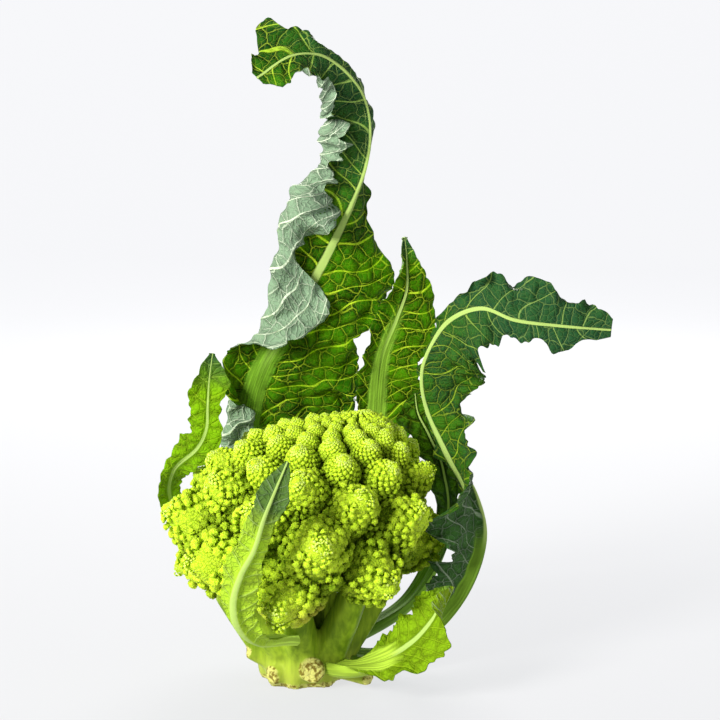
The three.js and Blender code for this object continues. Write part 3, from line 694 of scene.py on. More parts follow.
def bud_places():
    """Where the buds stand on a floret of width 1: foot, axis, width and height share."""
    shares = np.linspace(0, 1.4, 9)
    radius, height = floret_outline(shares)
    table = way_table(np.stack([radius * 1.02, height, radius * 0, radius * 0], axis=1))
    way = table[1][-1]
    places = []
    while way > BUD_LEAST * 1.2:
        width = min(BUD_SHARE * way, BUD_MOST)
        (r, z, _, _), out, up = on_profile(table, way)
        turn = len(places) * GOLDEN
        foot = [r * math.cos(turn), r * math.sin(turn), z]
        axis = [out * math.cos(turn), out * math.sin(turn), up + 0.25]
        places.append([*foot, *unit(np.array(axis)), width, z / CONE_RISE])
        way -= BUD_PACKING * width * width / (2 * math.pi * max(r, 0.45 * way))
    return np.array(places)


def knobbed_bud(families, shrink, count, start, knob, steep=0.44):
    """A bud of width 1 whose knobs lie in crossing spirals: points, faces and how high each is."""
    m, n = families
    turn_m, turn_n = ((k * GOLDEN + math.pi) % (2 * math.pi) - math.pi for k in (m, n))

    def place(index, angle, raised):
        share = start * math.exp(-shrink * index)
        near = np.array(bud_outline(share, steep))
        step = np.array(bud_outline(share * 1.02, steep)) - near
        step /= np.linalg.norm(step)
        radius = near[0] - step[1] * raised * share
        height = near[1] + step[0] * raised * share
        return [radius * math.cos(angle), radius * math.sin(angle), height]

    points = [place(i, i * GOLDEN, 0) for i in range(count)]
    rises = [0.0] * count
    faces = []
    for i in range(count - m - n):
        corners = [i, i + m, i + m + n, i + n]
        if turn_m * n - turn_n * m <= 0:
            corners.reverse()
        points.append(place(i + (m + n) / 2, i * GOLDEN + (turn_m + turn_n) / 2, knob))
        rises.append(1.0)
        faces += [[corners[k], corners[(k + 1) % 4], len(points) - 1] for k in range(4)]
    points += [[0, 0, steep * 1.02], [0, 0, -0.5]]
    rises += [1.0, 0.0]
    turn_of = {i: (i * GOLDEN) % (2 * math.pi) for i in range(count)}
    top = sorted(range(count - m - n, count), key=turn_of.get)
    rim = sorted(range(m + n), key=turn_of.get)
    faces += [[v, top[(k + 1) % len(top)], len(points) - 2] for k, v in enumerate(top)]
    faces += [[rim[(k + 1) % len(rim)], v, len(points) - 1] for k, v in enumerate(rim)]
    points = np.array(points)
    rises = 0.6 * np.array(rises) + 0.4 * np.clip(points[:, 2] / steep, 0, 1)
    return points, np.array(faces), rises


def plain_knob(sides):
    """The smallest bud, of width 1: a round knob."""
    angles = ring_angles(sides)
    points = [[0.53 * math.cos(a), 0.53 * math.sin(a), 0] for a in angles]
    points += [[0.37 * math.cos(a + 0.5), 0.37 * math.sin(a + 0.5), 0.33] for a in angles]
    points += [[0, 0, 0.48], [0, 0, -0.5]]
    faces = []
    for k in range(sides):
        following = (k + 1) % sides
        low, high = [k, following], [k + sides, following + sides]
        faces += [[low[0], low[1], high[0]], [low[1], high[1], high[0]]]
        faces += [[*high, 2 * sides], [low[1], low[0], 2 * sides + 1]]
    rises = [0.25] * sides + [0.85] * sides + [1.0, 0.0]
    return np.array(points), np.array(faces), np.array(rises)


def bud_outline(share, steep):
    below = max(share - 1, 0)
    inside = min(share, 1)
    return 0.5 * (inside ** 0.85 - 0.3 * below), steep * (1 - inside ** 1.6 - 1.1 * below)


def stand(pattern, feet, axes, widths, spins):
    """Copies of a bud pattern at many places, as points, faces and rises."""
    points, faces, rises = pattern
    turned = np.einsum("nij,vj->nvi", basis(axes, spins) * widths[:, None, None], points)
    placed = turned + feet[:, None, :]
    shifts = np.arange(len(feet))[:, None, None] * len(points)
    return placed.reshape(-1, 3), (faces[None] + shifts).reshape(-1, 3), np.tile(rises, len(feet))


def outside(points, florets, number):
    """Which points aren't buried in another floret."""
    free = np.ones(len(points), bool)
    for other, floret in enumerate(florets):
        away = points - floret["foot"]
        width = floret["width"]
        if other == number or np.linalg.norm(points[0] - floret["foot"]) > 2.5 * FLORET_MOST:
            continue
        along_axis = away @ floret["axis"]
        radius = np.linalg.norm(away - along_axis[:, None] * floret["axis"], axis=1) * 2 / width
        height = CONE_RISE * width * (1 - np.minimum(radius, 1) ** CONE_POWER)
        free &= (radius > 0.97) | (along_axis > height - 0.05 * width - 0.4) | (along_axis < -0.6 * width)
    return free


def curd_group(florets, numbers, everyone, draws):
    """All buds of some florets, with the plain cone inside each."""
    buds = bud_places()
    rows = []  # foot, axis, width and height share of every bud
    for floret, number in zip(florets, numbers):
        width, axis = floret["width"] * 0.97, floret["axis"]
        if width < WHOLE_FLORET:
            rows.append([*floret["foot"], *axis, width * 1.1, 0.8])
            continue
        turning = basis([axis], np.array([floret["turn"]]))[0]
        own = buds[buds[:, 6] * width > LEAST_KNOB]
        loose = smooth(LOOSE_FROM, LOOSE_ALL, width)
        lump = unevenness(own[:, 0] * 2.8, own[:, 1] * 2.8, 500 + number)
        feet = own[:, :3] + own[:, 3:6] * (0.1 * loose * lump[:, None] - 0.02 - 0.008 * loose)
        feet = feet + draws.normal(0, 0.003 + 0.006 * loose, feet.shape)
        axes = own[:, 3:6] + draws.normal(0, 0.06 + 0.1 * loose, feet.shape)
        widths = own[:, 6] * draws.uniform(1.06 - 0.2 * loose, 1.18 + 0.14 * loose, len(own))
        feet = feet @ turning.T * width + floret["foot"]
        heights = np.clip(own[:, 7], 0, 1)
        placed = np.column_stack([feet, axes @ turning.T, widths * width, heights])
        rows.append(placed[outside(feet, everyone, number)])
    rows = np.vstack([np.atleast_2d(r) for r in rows])
    patterns = [
        (BUD_ROUGHEST, math.inf, knobbed_bud((5, 8), 0.07, 38, 1.25, 0.2)),
        (BUD_ROUGH, BUD_ROUGHEST, knobbed_bud((3, 5), 0.15, 19, 1.25, 0.18)),
        (0, BUD_ROUGH, plain_knob(5)),
    ]
    made = []
    for low, high, pattern in patterns:
        some = rows[(rows[:, 6] > low) & (rows[:, 6] <= high)]
        spins = draws.uniform(0, FULL_TURN, len(some))
        points, faces, rises = stand(pattern, some[:, :3], some[:, 3:6], some[:, 6], spins)
        made.append((points, faces, rises, np.repeat(some[:, 7], len(pattern[0]))))
    cone = plain_cone(14, 6)
    large = [f for f in florets if f["width"] >= WHOLE_FLORET]
    feet = np.array([f["foot"] for f in large])
    axes = np.array([f["axis"] for f in large])
    widths = np.array([f["width"] for f in large])
    points, faces, rises = stand(cone, feet, axes, widths, np.zeros(len(large)))
    made.append((points, faces, rises, np.tile(np.clip(cone[0][:, 2] / CONE_RISE, 0, 1), len(large))))
    return together(made)


def plain_cone(sides, rings):
    """The cone inside a floret of width 1, which fills the gaps between its buds."""
    shares = np.linspace(0.08, 1.5, rings)
    radius, height = floret_outline(shares)
    angles = ring_angles(sides)
    radius = radius * 0.98
    ring = np.stack([np.cos(angles), np.sin(angles)], axis=1)
    points = [[r * c, r * s, h] for r, h in zip(radius, height - 0.025) for c, s in ring]
    faces = skin_faces(sides, rings, len(points))
    points += [[0, 0, CONE_RISE - 0.025], [0, 0, height[-1] - 0.1]]
    # Painted shade: a bud rise of zero gives the cone the dark colour of the valleys between buds.
    return np.array(points), faces, np.zeros(len(points))


def together(parts):
    """Several meshes as one: points, faces and every note in the same order."""
    counts = np.cumsum([0] + [len(p[0]) for p in parts[:-1]])
    faces = np.vstack([p[1] + n for p, n in zip(parts, counts)])
    return [np.vstack([p[0] for p in parts]), faces] + [
        np.concatenate([p[k] for p in parts]) for k in range(2, len(parts[0]))
    ]


def core_mesh(length, table):
    """The heart of the curd under its florets."""
    sides, rings = 72, 44
    rows = []
    for way in np.linspace(0.2, length, rings):
        (r, z, x, y), _, _ = on_profile(table, way)
        inset = CORE_INSET * 0.5 * smooth(4, 40, way)
        rows.append([max(r - inset, 0.05), z - inset * 0.4 - 0.4, x, y])
    angles = ring_angles(sides)
    points = [[r * math.cos(a) + x, r * math.sin(a) + y, z] for r, z, x, y in rows for a in angles]
    faces = skin_faces(sides, rings, len(points))
    points += [[rows[0][2], rows[0][3], rows[0][1]], [0, 0, rows[-1][1] + 4]]
    # Painted shade: low rises give the core the dark colour of the clefts between florets.
    return np.array(points), faces, np.zeros(len(points)), np.full(len(points), 0.1)


def curd_finish(look):
    """Granular yellow-green, with painted shade that darkens the foot of each bud and the clefts between
    florets, and tips that are paler, partly their own colour and partly a painted highlight.
    """
    recipe = Recipe("curd_surface")
    where = recipe.node("ShaderNodeNewGeometry").outputs["Position"]
    bud, floret = recipe.note("bud_rise"), recipe.note("floret_rise")
    patch = recipe.noise(where, 28.0, 3.0)
    speckle = recipe.noise(where, 700.0, 2.0)
    grains = recipe.cells(where, 900.0)
    # Painted shade: the colour darkens towards the foot of each bud and of each floret, and a floret's low
    # rise darkens the clefts between florets further; grains and patches add uneven tone of the curd's own.
    tone = bud * 0.4 + floret * 0.35 + (0.5 - grains) * 0.4 + (patch - 0.5) * 0.4
    light = tone.between(-0.2, 0.43) * (0.36 + 0.64 * floret.between(0.0, 0.38))
    body = recipe.blend(light, tuple(look.valley_shade_colour), tuple(look.bud_colour))
    height = recipe.measure(where, "Z")
    low = (1 - ((height - 0.045) / 0.018).between(0.0, 1.0)) * patch.between(0.45, 0.62)
    body = recipe.blend(low * 0.6, body, tuple(look.dry_colour))
    # Partly painted highlight: the buds' tips are blended towards a pale colour, part their own paler tone
    # and part a highlight, broken up by grains and speckles.
    pale = (bud * (0.45 + 0.55 * floret) + (0.4 - grains) * 0.4 + (speckle - 0.5) * 0.2).between(0.5, 1.1)
    colour = recipe.blend(pale * 0.75, body, tuple(look.pale_tip_and_highlight_colour))
    grain = grains * -1.0 + recipe.noise(where, 1500.0, 2.0) * 0.4
    shader = recipe.node(
        "ShaderNodeBsdfPrincipled",
        {},
        Base_Color=colour,
        Roughness=0.5 + 0.2 * speckle,
        Subsurface_Weight=0.35,
        Subsurface_Radius=(1.0, 1.0, 0.25),
        Subsurface_Scale=0.0025,
        Specular_IOR_Level=0.15,
        Specular_Tint=(0.8, 0.95, 0.3),
        Normal=recipe.bump(grain, 0.0009, look.grain_strength),
    )
    return recipe.surface(shader.outputs[0])


# Stem


def bar(points, radii, sides, steps, flutes, seed):
    """A tapering round bar along a curve, closed at both ends, with soft ridges along it."""
    t = np.linspace(0, 1, steps + 1)
    points = np.asarray(points, float)
    centre = along(points, t)
    tangent = unit(along(points, np.clip(t + 0.01, 0, 1)) - along(points, np.clip(t - 0.01, 0, 1)))
    across = unit(np.cross(tangent, [0.01, 0.02, 1.0]))
    beside = np.cross(tangent, across)
    angles = ring_angles(sides)
    ridge = 1 + flutes * np.cos(5 * angles + seed) + 0.5 * flutes * np.cos(9 * angles + 2 * seed)
    radius = along(radii, t)[:, None] * ridge[None]
    spokes = across[:, None] * np.cos(angles)[:, None] + beside[:, None] * np.sin(angles)[:, None]
    rings = (centre[:, None] + spokes * radius[..., None]).reshape(-1, 3)
    faces = []
    for i in range(steps):
        for k in range(sides):
            a, b = i * sides + k, i * sides + (k + 1) % sides
            faces += [[a, b, b + sides], [a, b + sides, a + sides]]
    for k in range(1, sides - 1):
        last = steps * sides
        faces += [[0, k + 1, k], [last, last + k, last + k + 1]]
    return rings, np.array(faces)


def trunk(places):
    """The trunk with its flat cut, grooved between the stalks."""
    profile = along(TRUNK_PROFILE, np.linspace(0, 1, TRUNK_RINGS + 2))
    slimmer = [[r * (1 - 0.22 * smooth(14, 34, z) * (1 - smooth(40, 56, z))), z] for r, z in profile]
    angles = ring_angles(TRUNK_SIDES)
    lobes = np.full(TRUNK_SIDES, 0.84)
    for place in places[:STALKS]:
        away = np.angle(np.exp(1j * (angles - math.atan2(place["foot"][1], place["foot"][0]))))
        lobes = np.maximum(lobes, 0.84 + 0.19 * np.exp(-((away / 0.26) ** 2)))
    points = [
        [r * w * math.cos(a) + TRUNK_SHIFT, r * w * math.sin(a), z]
        for r, z in slimmer[1:-1]
        for a, w in zip(angles, lobes)
    ]
    faces = skin_faces(TRUNK_SIDES, TRUNK_RINGS, len(points))[:, ::-1]
    points += [[TRUNK_SHIFT, 0, 0], [TRUNK_SHIFT, 0, TRUNK_HEIGHT]]
    return np.array(points), faces


def melted(parts, grain):
    """Closed meshes melted into one body: its points and triangles."""
    points, faces = together(parts)
    mesh = bpy.data.meshes.new("melting")
    mesh.from_pydata(points.tolist(), [], faces.tolist())
    body = bpy.data.objects.new("melting", mesh)
    bpy.context.scene.collection.objects.link(body)
    remesh = body.modifiers.new("melt", "REMESH")
    remesh.mode = "VOXEL"
    remesh.voxel_size = grain
    soften = body.modifiers.new("soften", "SMOOTH")
    soften.iterations = 7
    soften.factor = 0.5
    done = body.evaluated_get(bpy.context.evaluated_depsgraph_get()).to_mesh()
    found = np.zeros(len(done.vertices) * 3)
    done.vertices.foreach_get("co", found)
    quads = np.array([list(p.vertices) for p in done.polygons if len(p.vertices) == 4])
    body.evaluated_get(bpy.context.evaluated_depsgraph_get()).to_mesh_clear()
    bpy.data.objects.remove(body)
    bpy.data.meshes.remove(mesh)
    return found.reshape(-1, 3), quads


def stem_mesh(places):
    """The fluted stem with a stalk for each low floret and the bases of trimmed leaves."""
    parts = [trunk(places)]
    for i, place in enumerate(places[:STALKS]):
        out = unit(place["foot"][:2])
        top = place["foot"] - 0.1 * place["width"] * place["axis"]
        foot = [out[0] * STALK_FOOT[0], out[1] * STALK_FOOT[0], STALK_FOOT[1]]
        elbow = [top[0] * 0.68, top[1] * 0.68, STALK_FOOT[1] + (top[2] - STALK_FOOT[1]) * 0.5]
        slim = [r * STALK_SLIMMING for r in STALK_RADII]
        parts.append(bar([foot, elbow, top], slim, 28, 24, 0.06, i))
    parts.append(bar(SIDE_STALK["path"], SIDE_STALK["radii"], 28, 24, 0.03, 3))
    for i, stub in enumerate(STUBS):
        parts.append(bar([stub["foot"], stub["end"]], stub["radii"], 20, 6, 0.05, i))
    points, faces = melted(parts, STEM_GRAIN)
    below = points[:, 2] < 0.7
    points[below, 2] = 0
    turn = np.arctan2(points[:, 1], points[:, 0] - TRUNK_SHIFT)
    ridges = 0.35 * np.sin(14 * turn + 0.05 * points[:, 2]) * smooth(2, 12, points[:, 2])
    outward = np.column_stack([np.cos(turn), np.sin(turn), turn * 0])
    points = points + outward * ridges[:, None] * (np.hypot(points[:, 0], points[:, 1]) > 8)[:, None]
    cut = 1 - smooth(1.0, 7.0, points[:, 2])
    for stub in STUBS:
        end = np.array(stub["end"], float)
        reach = np.linalg.norm(points - end, axis=1)
        cut = np.maximum(cut, 1 - smooth(stub["radii"][1] * 0.9, stub["radii"][1] * 1.5, reach))
    return points, faces, {"cut": cut, "height": points[:, 2]}


def stem_finish(look):
    """Smooth waxy green, paler where it was cut, with brown along the cut's edge."""
    recipe = Recipe("stem_surface")
    where = recipe.node("ShaderNodeNewGeometry").outputs["Position"]
    cut, height = recipe.note("cut"), recipe.note("height")
    fibre = recipe.noise(recipe.stretched(where, (1.0, 1.0, 0.16)), 420.0, 3.0)
    patch = recipe.noise(where, 60.0, 3.0)
    green = recipe.blend((fibre * 0.6 + patch * 0.4).between(0.3, 0.7), tuple(look.shade), tuple(look.flesh))
    warm = recipe.blend((1 - (height / 26).between(0.2, 1.0)) * 0.6, green, tuple(look.foot))
    cracks = recipe.cracks(recipe.shifted(where, 0.004, 200.0), 260.0)
    dry = (cut + (patch - 0.5) * 0.9 + (recipe.noise(where, 330.0, 3.0) - 0.5) * 0.7).between(0.5, 0.95)
    speck = recipe.noise(where, 400.0, 4.0).between(0.4, 0.56)
    cut_tone = recipe.blend(speck, tuple(look.cut_colour), tuple(look.pale_cut))
    colour = recipe.blend(dry * 0.85, warm, cut_tone)
    grain = fibre * 0.4 + dry * (1 - cracks.between(0.0, 0.2)) * -1.2
    shader = recipe.node(
        "ShaderNodeBsdfPrincipled",
        {},
        Base_Color=colour,
        Roughness=0.42 + 0.35 * dry,
        Subsurface_Weight=0.2,
        Subsurface_Radius=(1.0, 1.0, 0.4),
        Subsurface_Scale=0.003,
        Specular_IOR_Level=0.12,
        Specular_Tint=(0.8, 0.95, 0.3),
        Normal=recipe.bump(grain, 0.0005, 0.6),
    )
    return recipe.surface(shader.outputs[0])


# Leaves


def margin(leaf, t, side):
    """How far the margin's lobes reach at share t of the leaf, as the solid has it."""
    count, depth = leaf["lobes"]["count"], leaf["lobes"]["depth"]
    wave = np.abs(np.sin(math.pi * (count * t + 0.37 * side)))
    end = np.minimum(1, (1 - t) / 0.03)
    rounded = 0.35 + 0.65 * np.sqrt(end * (2 - end))
    return rounded * (1 - smooth(0.3, 0.42, t) * depth * (1 - wave ** 0.7))


def toothing(walked, apart, seed):
    """Forward-leaning teeth of uneven size along a margin, from 0 to 1."""
    place = walked / apart + 0.5 * unevenness(walked / 60, walked * 0, seed)
    share = place % 1
    saw = np.where(share < 0.68, share / 0.68, (1 - share) / 0.32)
    size = 0.65 + 0.35 * unevenness(walked / 17, walked * 0, seed + 1)
    return np.clip(saw, 0, 1) ** 0.8 * np.clip(size, 0.15, 1.2)


def leaf_mesh(leaf, own, look):
    """A leaf's two faces and margin, with the notes that its finish reads."""
    midrib = np.array(leaf["midrib"], float)
    fine_t = np.linspace(0, 1, 600)
    walks = np.linalg.norm(np.diff(along(midrib, fine_t), axis=0), axis=1)
    walked = np.concatenate([[0], np.cumsum(walks)])
    rows = int(walked[-1] / own["step"])
    t = np.linspace(0, 1, rows + 1)
    walked = np.interp(t, fine_t, walked)
    reach = leaf["evened"]
    centre = along(midrib, t)
    ahead = along(midrib, np.minimum(t + reach, 1))
    behind = along(midrib, np.maximum(t - reach, 0))
    tangent = unit(ahead - behind)
    face = along(leaf["face"], t)
    face = unit(face - tangent * np.sum(face * tangent, axis=1, keepdims=True))
    beside = np.cross(tangent, face)
    rib = along(leaf["rib"], t)
    sides = []
    for side, half in ((-1, leaf["left"]), (1, leaf["right"])):
        sides.append(half_blade(leaf, own, look, side, half, t, walked, rib, (centre, face, beside)))
    left, right = sides
    blade = {note: np.concatenate([left[note][:, :0:-1], right[note]], axis=1) for note in left}
    columns = blade["share"].shape[1]
    thick = rib[:, None] * np.sqrt(np.clip(1 - (blade["across"] / rib[:, None]) ** 2, 0, 1))
    half_thick = 0.5 * look.blade_thickness / MM * (1 - 0.45 * blade["share"])
    upper = blade["point"] + blade["normal"] * (half_thick + 0.15 * thick)[..., None]
    lower = blade["point"] - blade["normal"] * (half_thick + 0.85 * thick + 0.55 * blade["vein"])[..., None]
    number = np.arange((rows + 1) * columns).reshape(rows + 1, columns)
    a, b, c, d = number[:-1, :-1], number[:-1, 1:], number[1:, 1:], number[1:, :-1]
    top = np.stack([a, b, c, d], axis=-1).reshape(-1, 4)
    bottom = top[:, ::-1] + number.size
    ring = np.concatenate([number[0], number[1:-1, -1], number[-1, ::-1], number[-2:0:-1, 0]])
    following = np.roll(ring, -1)
    rim = np.stack([following, ring, ring + number.size, following + number.size], axis=1)
    points = np.concatenate([upper.reshape(-1, 3), lower.reshape(-1, 3)])
    dark = np.interp(t, *zip(*own["dark"]))
    notes = {
        "leaf_along": np.repeat(walked[:, None], columns, 1),
        "leaf_across": blade["across"],
        "vein_phase": blade["phase"],
        "rib_share": np.abs(blade["across"]) / rib[:, None],
        "edge": blade["share"],
        "stalk": 1 - blade["leafy"],
        "dark": np.repeat(dark[:, None], columns, 1),
    }
    notes = {note: np.tile(values.ravel(), 2) for note, values in notes.items()}
    at = [notes.pop("leaf_along"), notes.pop("leaf_across"), np.zeros(len(points))]
    notes["leaf_at"] = np.column_stack(at)
    notes["under"] = np.repeat([0.0, 1.0], number.size)
    return points, np.concatenate([top, bottom, rim]), notes


def half_width(leaf, own, look, side, t, walked, plain_width, open_part):
    """Width of a half along the leaf, with its lobes, gaps, notches and teeth."""
    gap = smooth(0.1, 0.9, unevenness(walked / 26, walked * 0, own["seed"] * 3 + side))
    ragged = own["ragged"][0 if side < 0 else 1]
    lobed = plain_width * margin(leaf, t, side) * (1 - ragged * gap * open_part)
    for half_side, middle, reach, depth in own["notches"]:
        if half_side == side:
            lobed = lobed * (1 - depth * np.exp(-(((t - middle) / reach) ** 2)))
    to_tip = np.clip((walked[-1] - walked) / ROUND_TIP, 0, 1)
    lobed = lobed * np.maximum(0.3, np.sqrt(1 - (1 - to_tip) ** 2))
    teeth = toothing(walked + 3 * side, own["teeth_apart"], own["seed"] * 10 + side)
    small = np.minimum(1, lobed / NARROW)
    return lobed + own["tooth"] * look.tooth_depth * (teeth - 0.45) * open_part * small, small


def half_blade(leaf, own, look, side, half, t, walked, rib, axes):
    """One side of a leaf from its midrib to its margin."""
    centre, face, beside = axes
    seed = own["seed"] * 7 + side
    plain_width = along(half["width"], t)
    beyond_stalk = smooth(1.6, 2.6, plain_width / rib)
    open_part = np.maximum(smooth(0.3, 0.42, t), beyond_stalk)
    width, small = half_width(leaf, own, look, side, t, walked, plain_width, open_part)
    small = small[:, None]
    shares = (np.arange(own["cells"] + 1) / own["cells"]) ** 1.15
    across = shares * plain_width[:, None] + shares ** 4 * (width - plain_width)[:, None]
    length = walked[:, None] + 0 * across

    # how the half folds, curls and swings
    fold, curl = (np.radians(along(half[turn], t))[:, None] for turn in ("fold", "curl"))
    start, stop = (along(b, t) if isinstance(b, list) else np.full(len(t), b) for b in half["bend"])
    swing = math.radians(own["wave"]) * open_part * np.minimum(1, plain_width / NARROW)
    swing = (swing * unevenness(walked / 24, walked * 0, own["seed"] * 5 + side))[:, None]

    def turned(places):
        curled = curl * smooth(start[:, None], stop[:, None], places)
        return fold + curled + swing * smooth(0.45, 0.95, places)

    turning = turned((shares[1:] + shares[:-1]) / 2)
    steps = np.maximum(np.diff(across, axis=1), 0.01)
    none = np.zeros((len(t), 1))
    out = np.hstack([none, np.cumsum(np.cos(turning) * steps, axis=1)])[..., None]
    up = np.hstack([none, np.cumsum(np.sin(turning) * steps, axis=1)])[..., None]
    angle = turned(shares)[..., None]
    normal = face[:, None] * np.cos(angle) - side * beside[:, None] * np.sin(angle)

    # side veins
    wander = 0.38 * unevenness(length / 40, across / 40, seed + 1)
    phase = (length - 0.55 * across - 0.006 * across ** 2) / own["vein_gap"] + wander + 0.5 * side
    away = np.abs(phase - np.round(phase)) * own["vein_gap"]
    leafy = np.maximum(smooth(*own["stalk"], t)[:, None], smooth(1.2, 1.7, across / rib[:, None]))
    vein = np.exp(-((away / 0.9) ** 2)) * smooth(0, 4, across) * leafy

    # waves, folds, frills and the swellings between the veins
    ruffle = leaf["ruffle"]
    wave = np.sin(FULL_TURN * ruffle["waves"] * t + ruffle["phase"] + side)
    calm = np.maximum(smooth(0.3, 0.45, t), beyond_stalk)
    lift = ruffle["height"] * np.minimum(1, plain_width / 20) * wave * calm
    calm = calm[:, None]
    lift = lift[:, None] * shares ** 2
    fine = unevenness(length / 16, across / 16, seed) * np.minimum(1, across / NARROW)
    lift = lift + 0.9 * own["pucker"] * fine * calm
    crease = 0.35 - np.abs(unevenness(length / 30, across / 30, seed + 5))
    lift = lift + own["crumple"] * crease * calm * smooth(3, 16, across) * small
    frill = unevenness(length / 15, across / 40, seed + 3)
    frill = frill + 0.35 * unevenness(length / 6, across / 25, seed + 4)
    lift = lift + own["frill"] * frill * smooth(0.5, 1, shares) * calm * small
    swell = 1 - np.exp(-((away / (0.24 * own["vein_gap"])) ** 2))
    uneven = 0.7 + 0.3 * unevenness(length / 6, across / 6, seed + 2)
    swell = swell * smooth(1, 7, across - rib[:, None]) * uneven
    lift = lift + look.puckering * own["pucker"] * (swell - 0.5) * leafy * small

    point = centre[:, None] + side * beside[:, None] * out + face[:, None] * up
    return {
        "point": point + normal * lift[..., None],
        "normal": normal,
        "share": shares + 0 * across,
        "across": side * across,
        "phase": phase,
        "vein": vein,
        "leafy": leafy,
    }


def tinted(colour, times):
    """A colour made brighter or darker."""
    return tuple(min(1, part * times) for part in colour)


def leaf_finish(name, own, look):
    """Waxy blade with a pale midrib, side veins and a fine net, which light shines through, with painted
    shade in the hollows by the veins and painted light on the swellings between.
    """
    recipe = Recipe(name + "_surface")
    at = recipe.place("leaf_at")
    phase, rib_share = recipe.note("vein_phase"), recipe.note("rib_share")
    edge, under, stalk = recipe.note("edge"), recipe.note("under"), recipe.note("stalk")
    dark = recipe.note("dark")
    wander = recipe.shifted(at, 5.0, 0.13)
    away = abs((phase + 0.5).fraction() - 0.5) * own["vein_gap"]
    beyond_rib = rib_share.between(0.5, 1.0)
    side_vein = 1 - ((away - (1 - 0.45 * edge) * own["vein_width"]) / 0.4).between(0.0, 1.0)
    midrib = 1 - rib_share.between(0.6 * own["rib_line"], own["rib_line"])
    coarse, finer = recipe.cracks(wander, 0.115, True), recipe.cracks(wander, 0.36, True)
    net = 1 - coarse.between(0.012, 0.055)
    fine_net = 1 - finer.between(0.02, 0.1)
    veins = side_vein.most(net * 0.5).most(fine_net * 0.18) * beyond_rib * (1 - stalk)
    upper_share, under_share = own["veined"]
    drawn = veins * (upper_share + under * (under_share - upper_share))
    patch = recipe.noise(at, 0.045, 3.0)
    mottle = recipe.noise(at, 0.6, 3.0)
    # Painted shade and light: the blade is darkened in the hollows along the veins and brightened on the
    # swellings between them, mixed with random mottling of its own green.
    pillow = (coarse.between(0.0, 0.3) * 0.7 + finer.between(0.0, 0.3) * 0.25) * beyond_rib
    depth = own["deep"]
    deep, bright = (tinted(own["upper"], k) for k in (depth, 2.1 - depth))
    swelling = (patch * 0.75 + mottle * 0.25 + pillow * 0.35).between(0.42, 0.92)
    blade = recipe.blend(swelling, deep, bright)
    waxy = (1 - (patch * 0.8 + mottle * 0.2).between(0.36, 0.6)) * own["bloom"]
    bloomed = recipe.blend(waxy, blade, tuple(look.bloom_colour))
    darkened = recipe.blend(dark * 0.85, bloomed, tuple(look.dark_colour))
    vein_tone = recipe.blend(dark * 0.8, tuple(look.vein_colour), tuple(look.dark_vein_colour))
    top = recipe.blend(drawn, darkened, vein_tone)
    # Painted shade and light on the under side as well: darker in the hollows, paler on the swellings, with
    # random patches of its own tone.
    shaded, pale = (tinted(own["under"], k) for k in (0.4 + 0.6 * depth, 1.3 - 0.3 * depth))
    swelling_below = (mottle * 0.3 + pillow * 0.35 + patch * 0.6).between(0.25, 0.85)
    bottom = recipe.blend(swelling_below, shaded, pale)
    bottom = recipe.blend(dark * own["dark_below"], bottom, tuple(look.dark_colour))
    bottom = recipe.blend(drawn, bottom, tuple(look.under_vein_colour))
    leafy = recipe.blend(under, top, bottom)
    leafy = recipe.blend(midrib * 0.85, leafy, tuple(look.rib_colour))
    stripes = recipe.noise(recipe.stretched(at, (0.03, 1.0, 1.0)), 0.8, 2.0)
    light_stalk = tinted(own["stalk_green"], 1.8)
    stalk_green = recipe.blend(stripes.between(0.4, 0.68), own["stalk_green"], light_stalk)
    colour = recipe.blend(stalk, leafy, stalk_green)
    walked = recipe.measure(at, "X")
    cut = 1 - ((walked + (mottle - 0.5) * 12) / own["dry_foot"]).between(0.5, 1.0)
    colour = recipe.blend(cut * 0.8, colour, tuple(look.cut_colour))
    turned = under * 2 - 1
    relief = turned * (veins * 0.8 - pillow * (1 - stalk) * 1.0) + mottle * 0.15 + stripes * stalk * 0.5
    normal = recipe.bump(relief, 0.0012, 0.8)
    skin = recipe.node(
        "ShaderNodeBsdfPrincipled",
        {},
        Base_Color=colour,
        Roughness=0.46 + 0.16 * mottle,
        Specular_IOR_Level=0.09,
        Specular_Tint=(0.6, 0.9, 0.15),
        Normal=normal,
    )
    through = recipe.node("ShaderNodeBsdfTranslucent", {}, Color=(0.66, 0.95, 0.06), Normal=normal)
    upper_glow, under_glow = own["glow"]
    share = (under * (under_glow - upper_glow) + upper_glow + drawn * 0.35) * (1 - stalk)
    share = share * (depth + (1.15 - depth) * swelling) * (1 - midrib * 0.6)
    share = share * (1 - dark * 0.6) * look.glow
    mixed = recipe.node("ShaderNodeMixShader", {}, share, skin.outputs[0], through.outputs[0])
    return recipe.surface(mixed.outputs[0])


# Stage


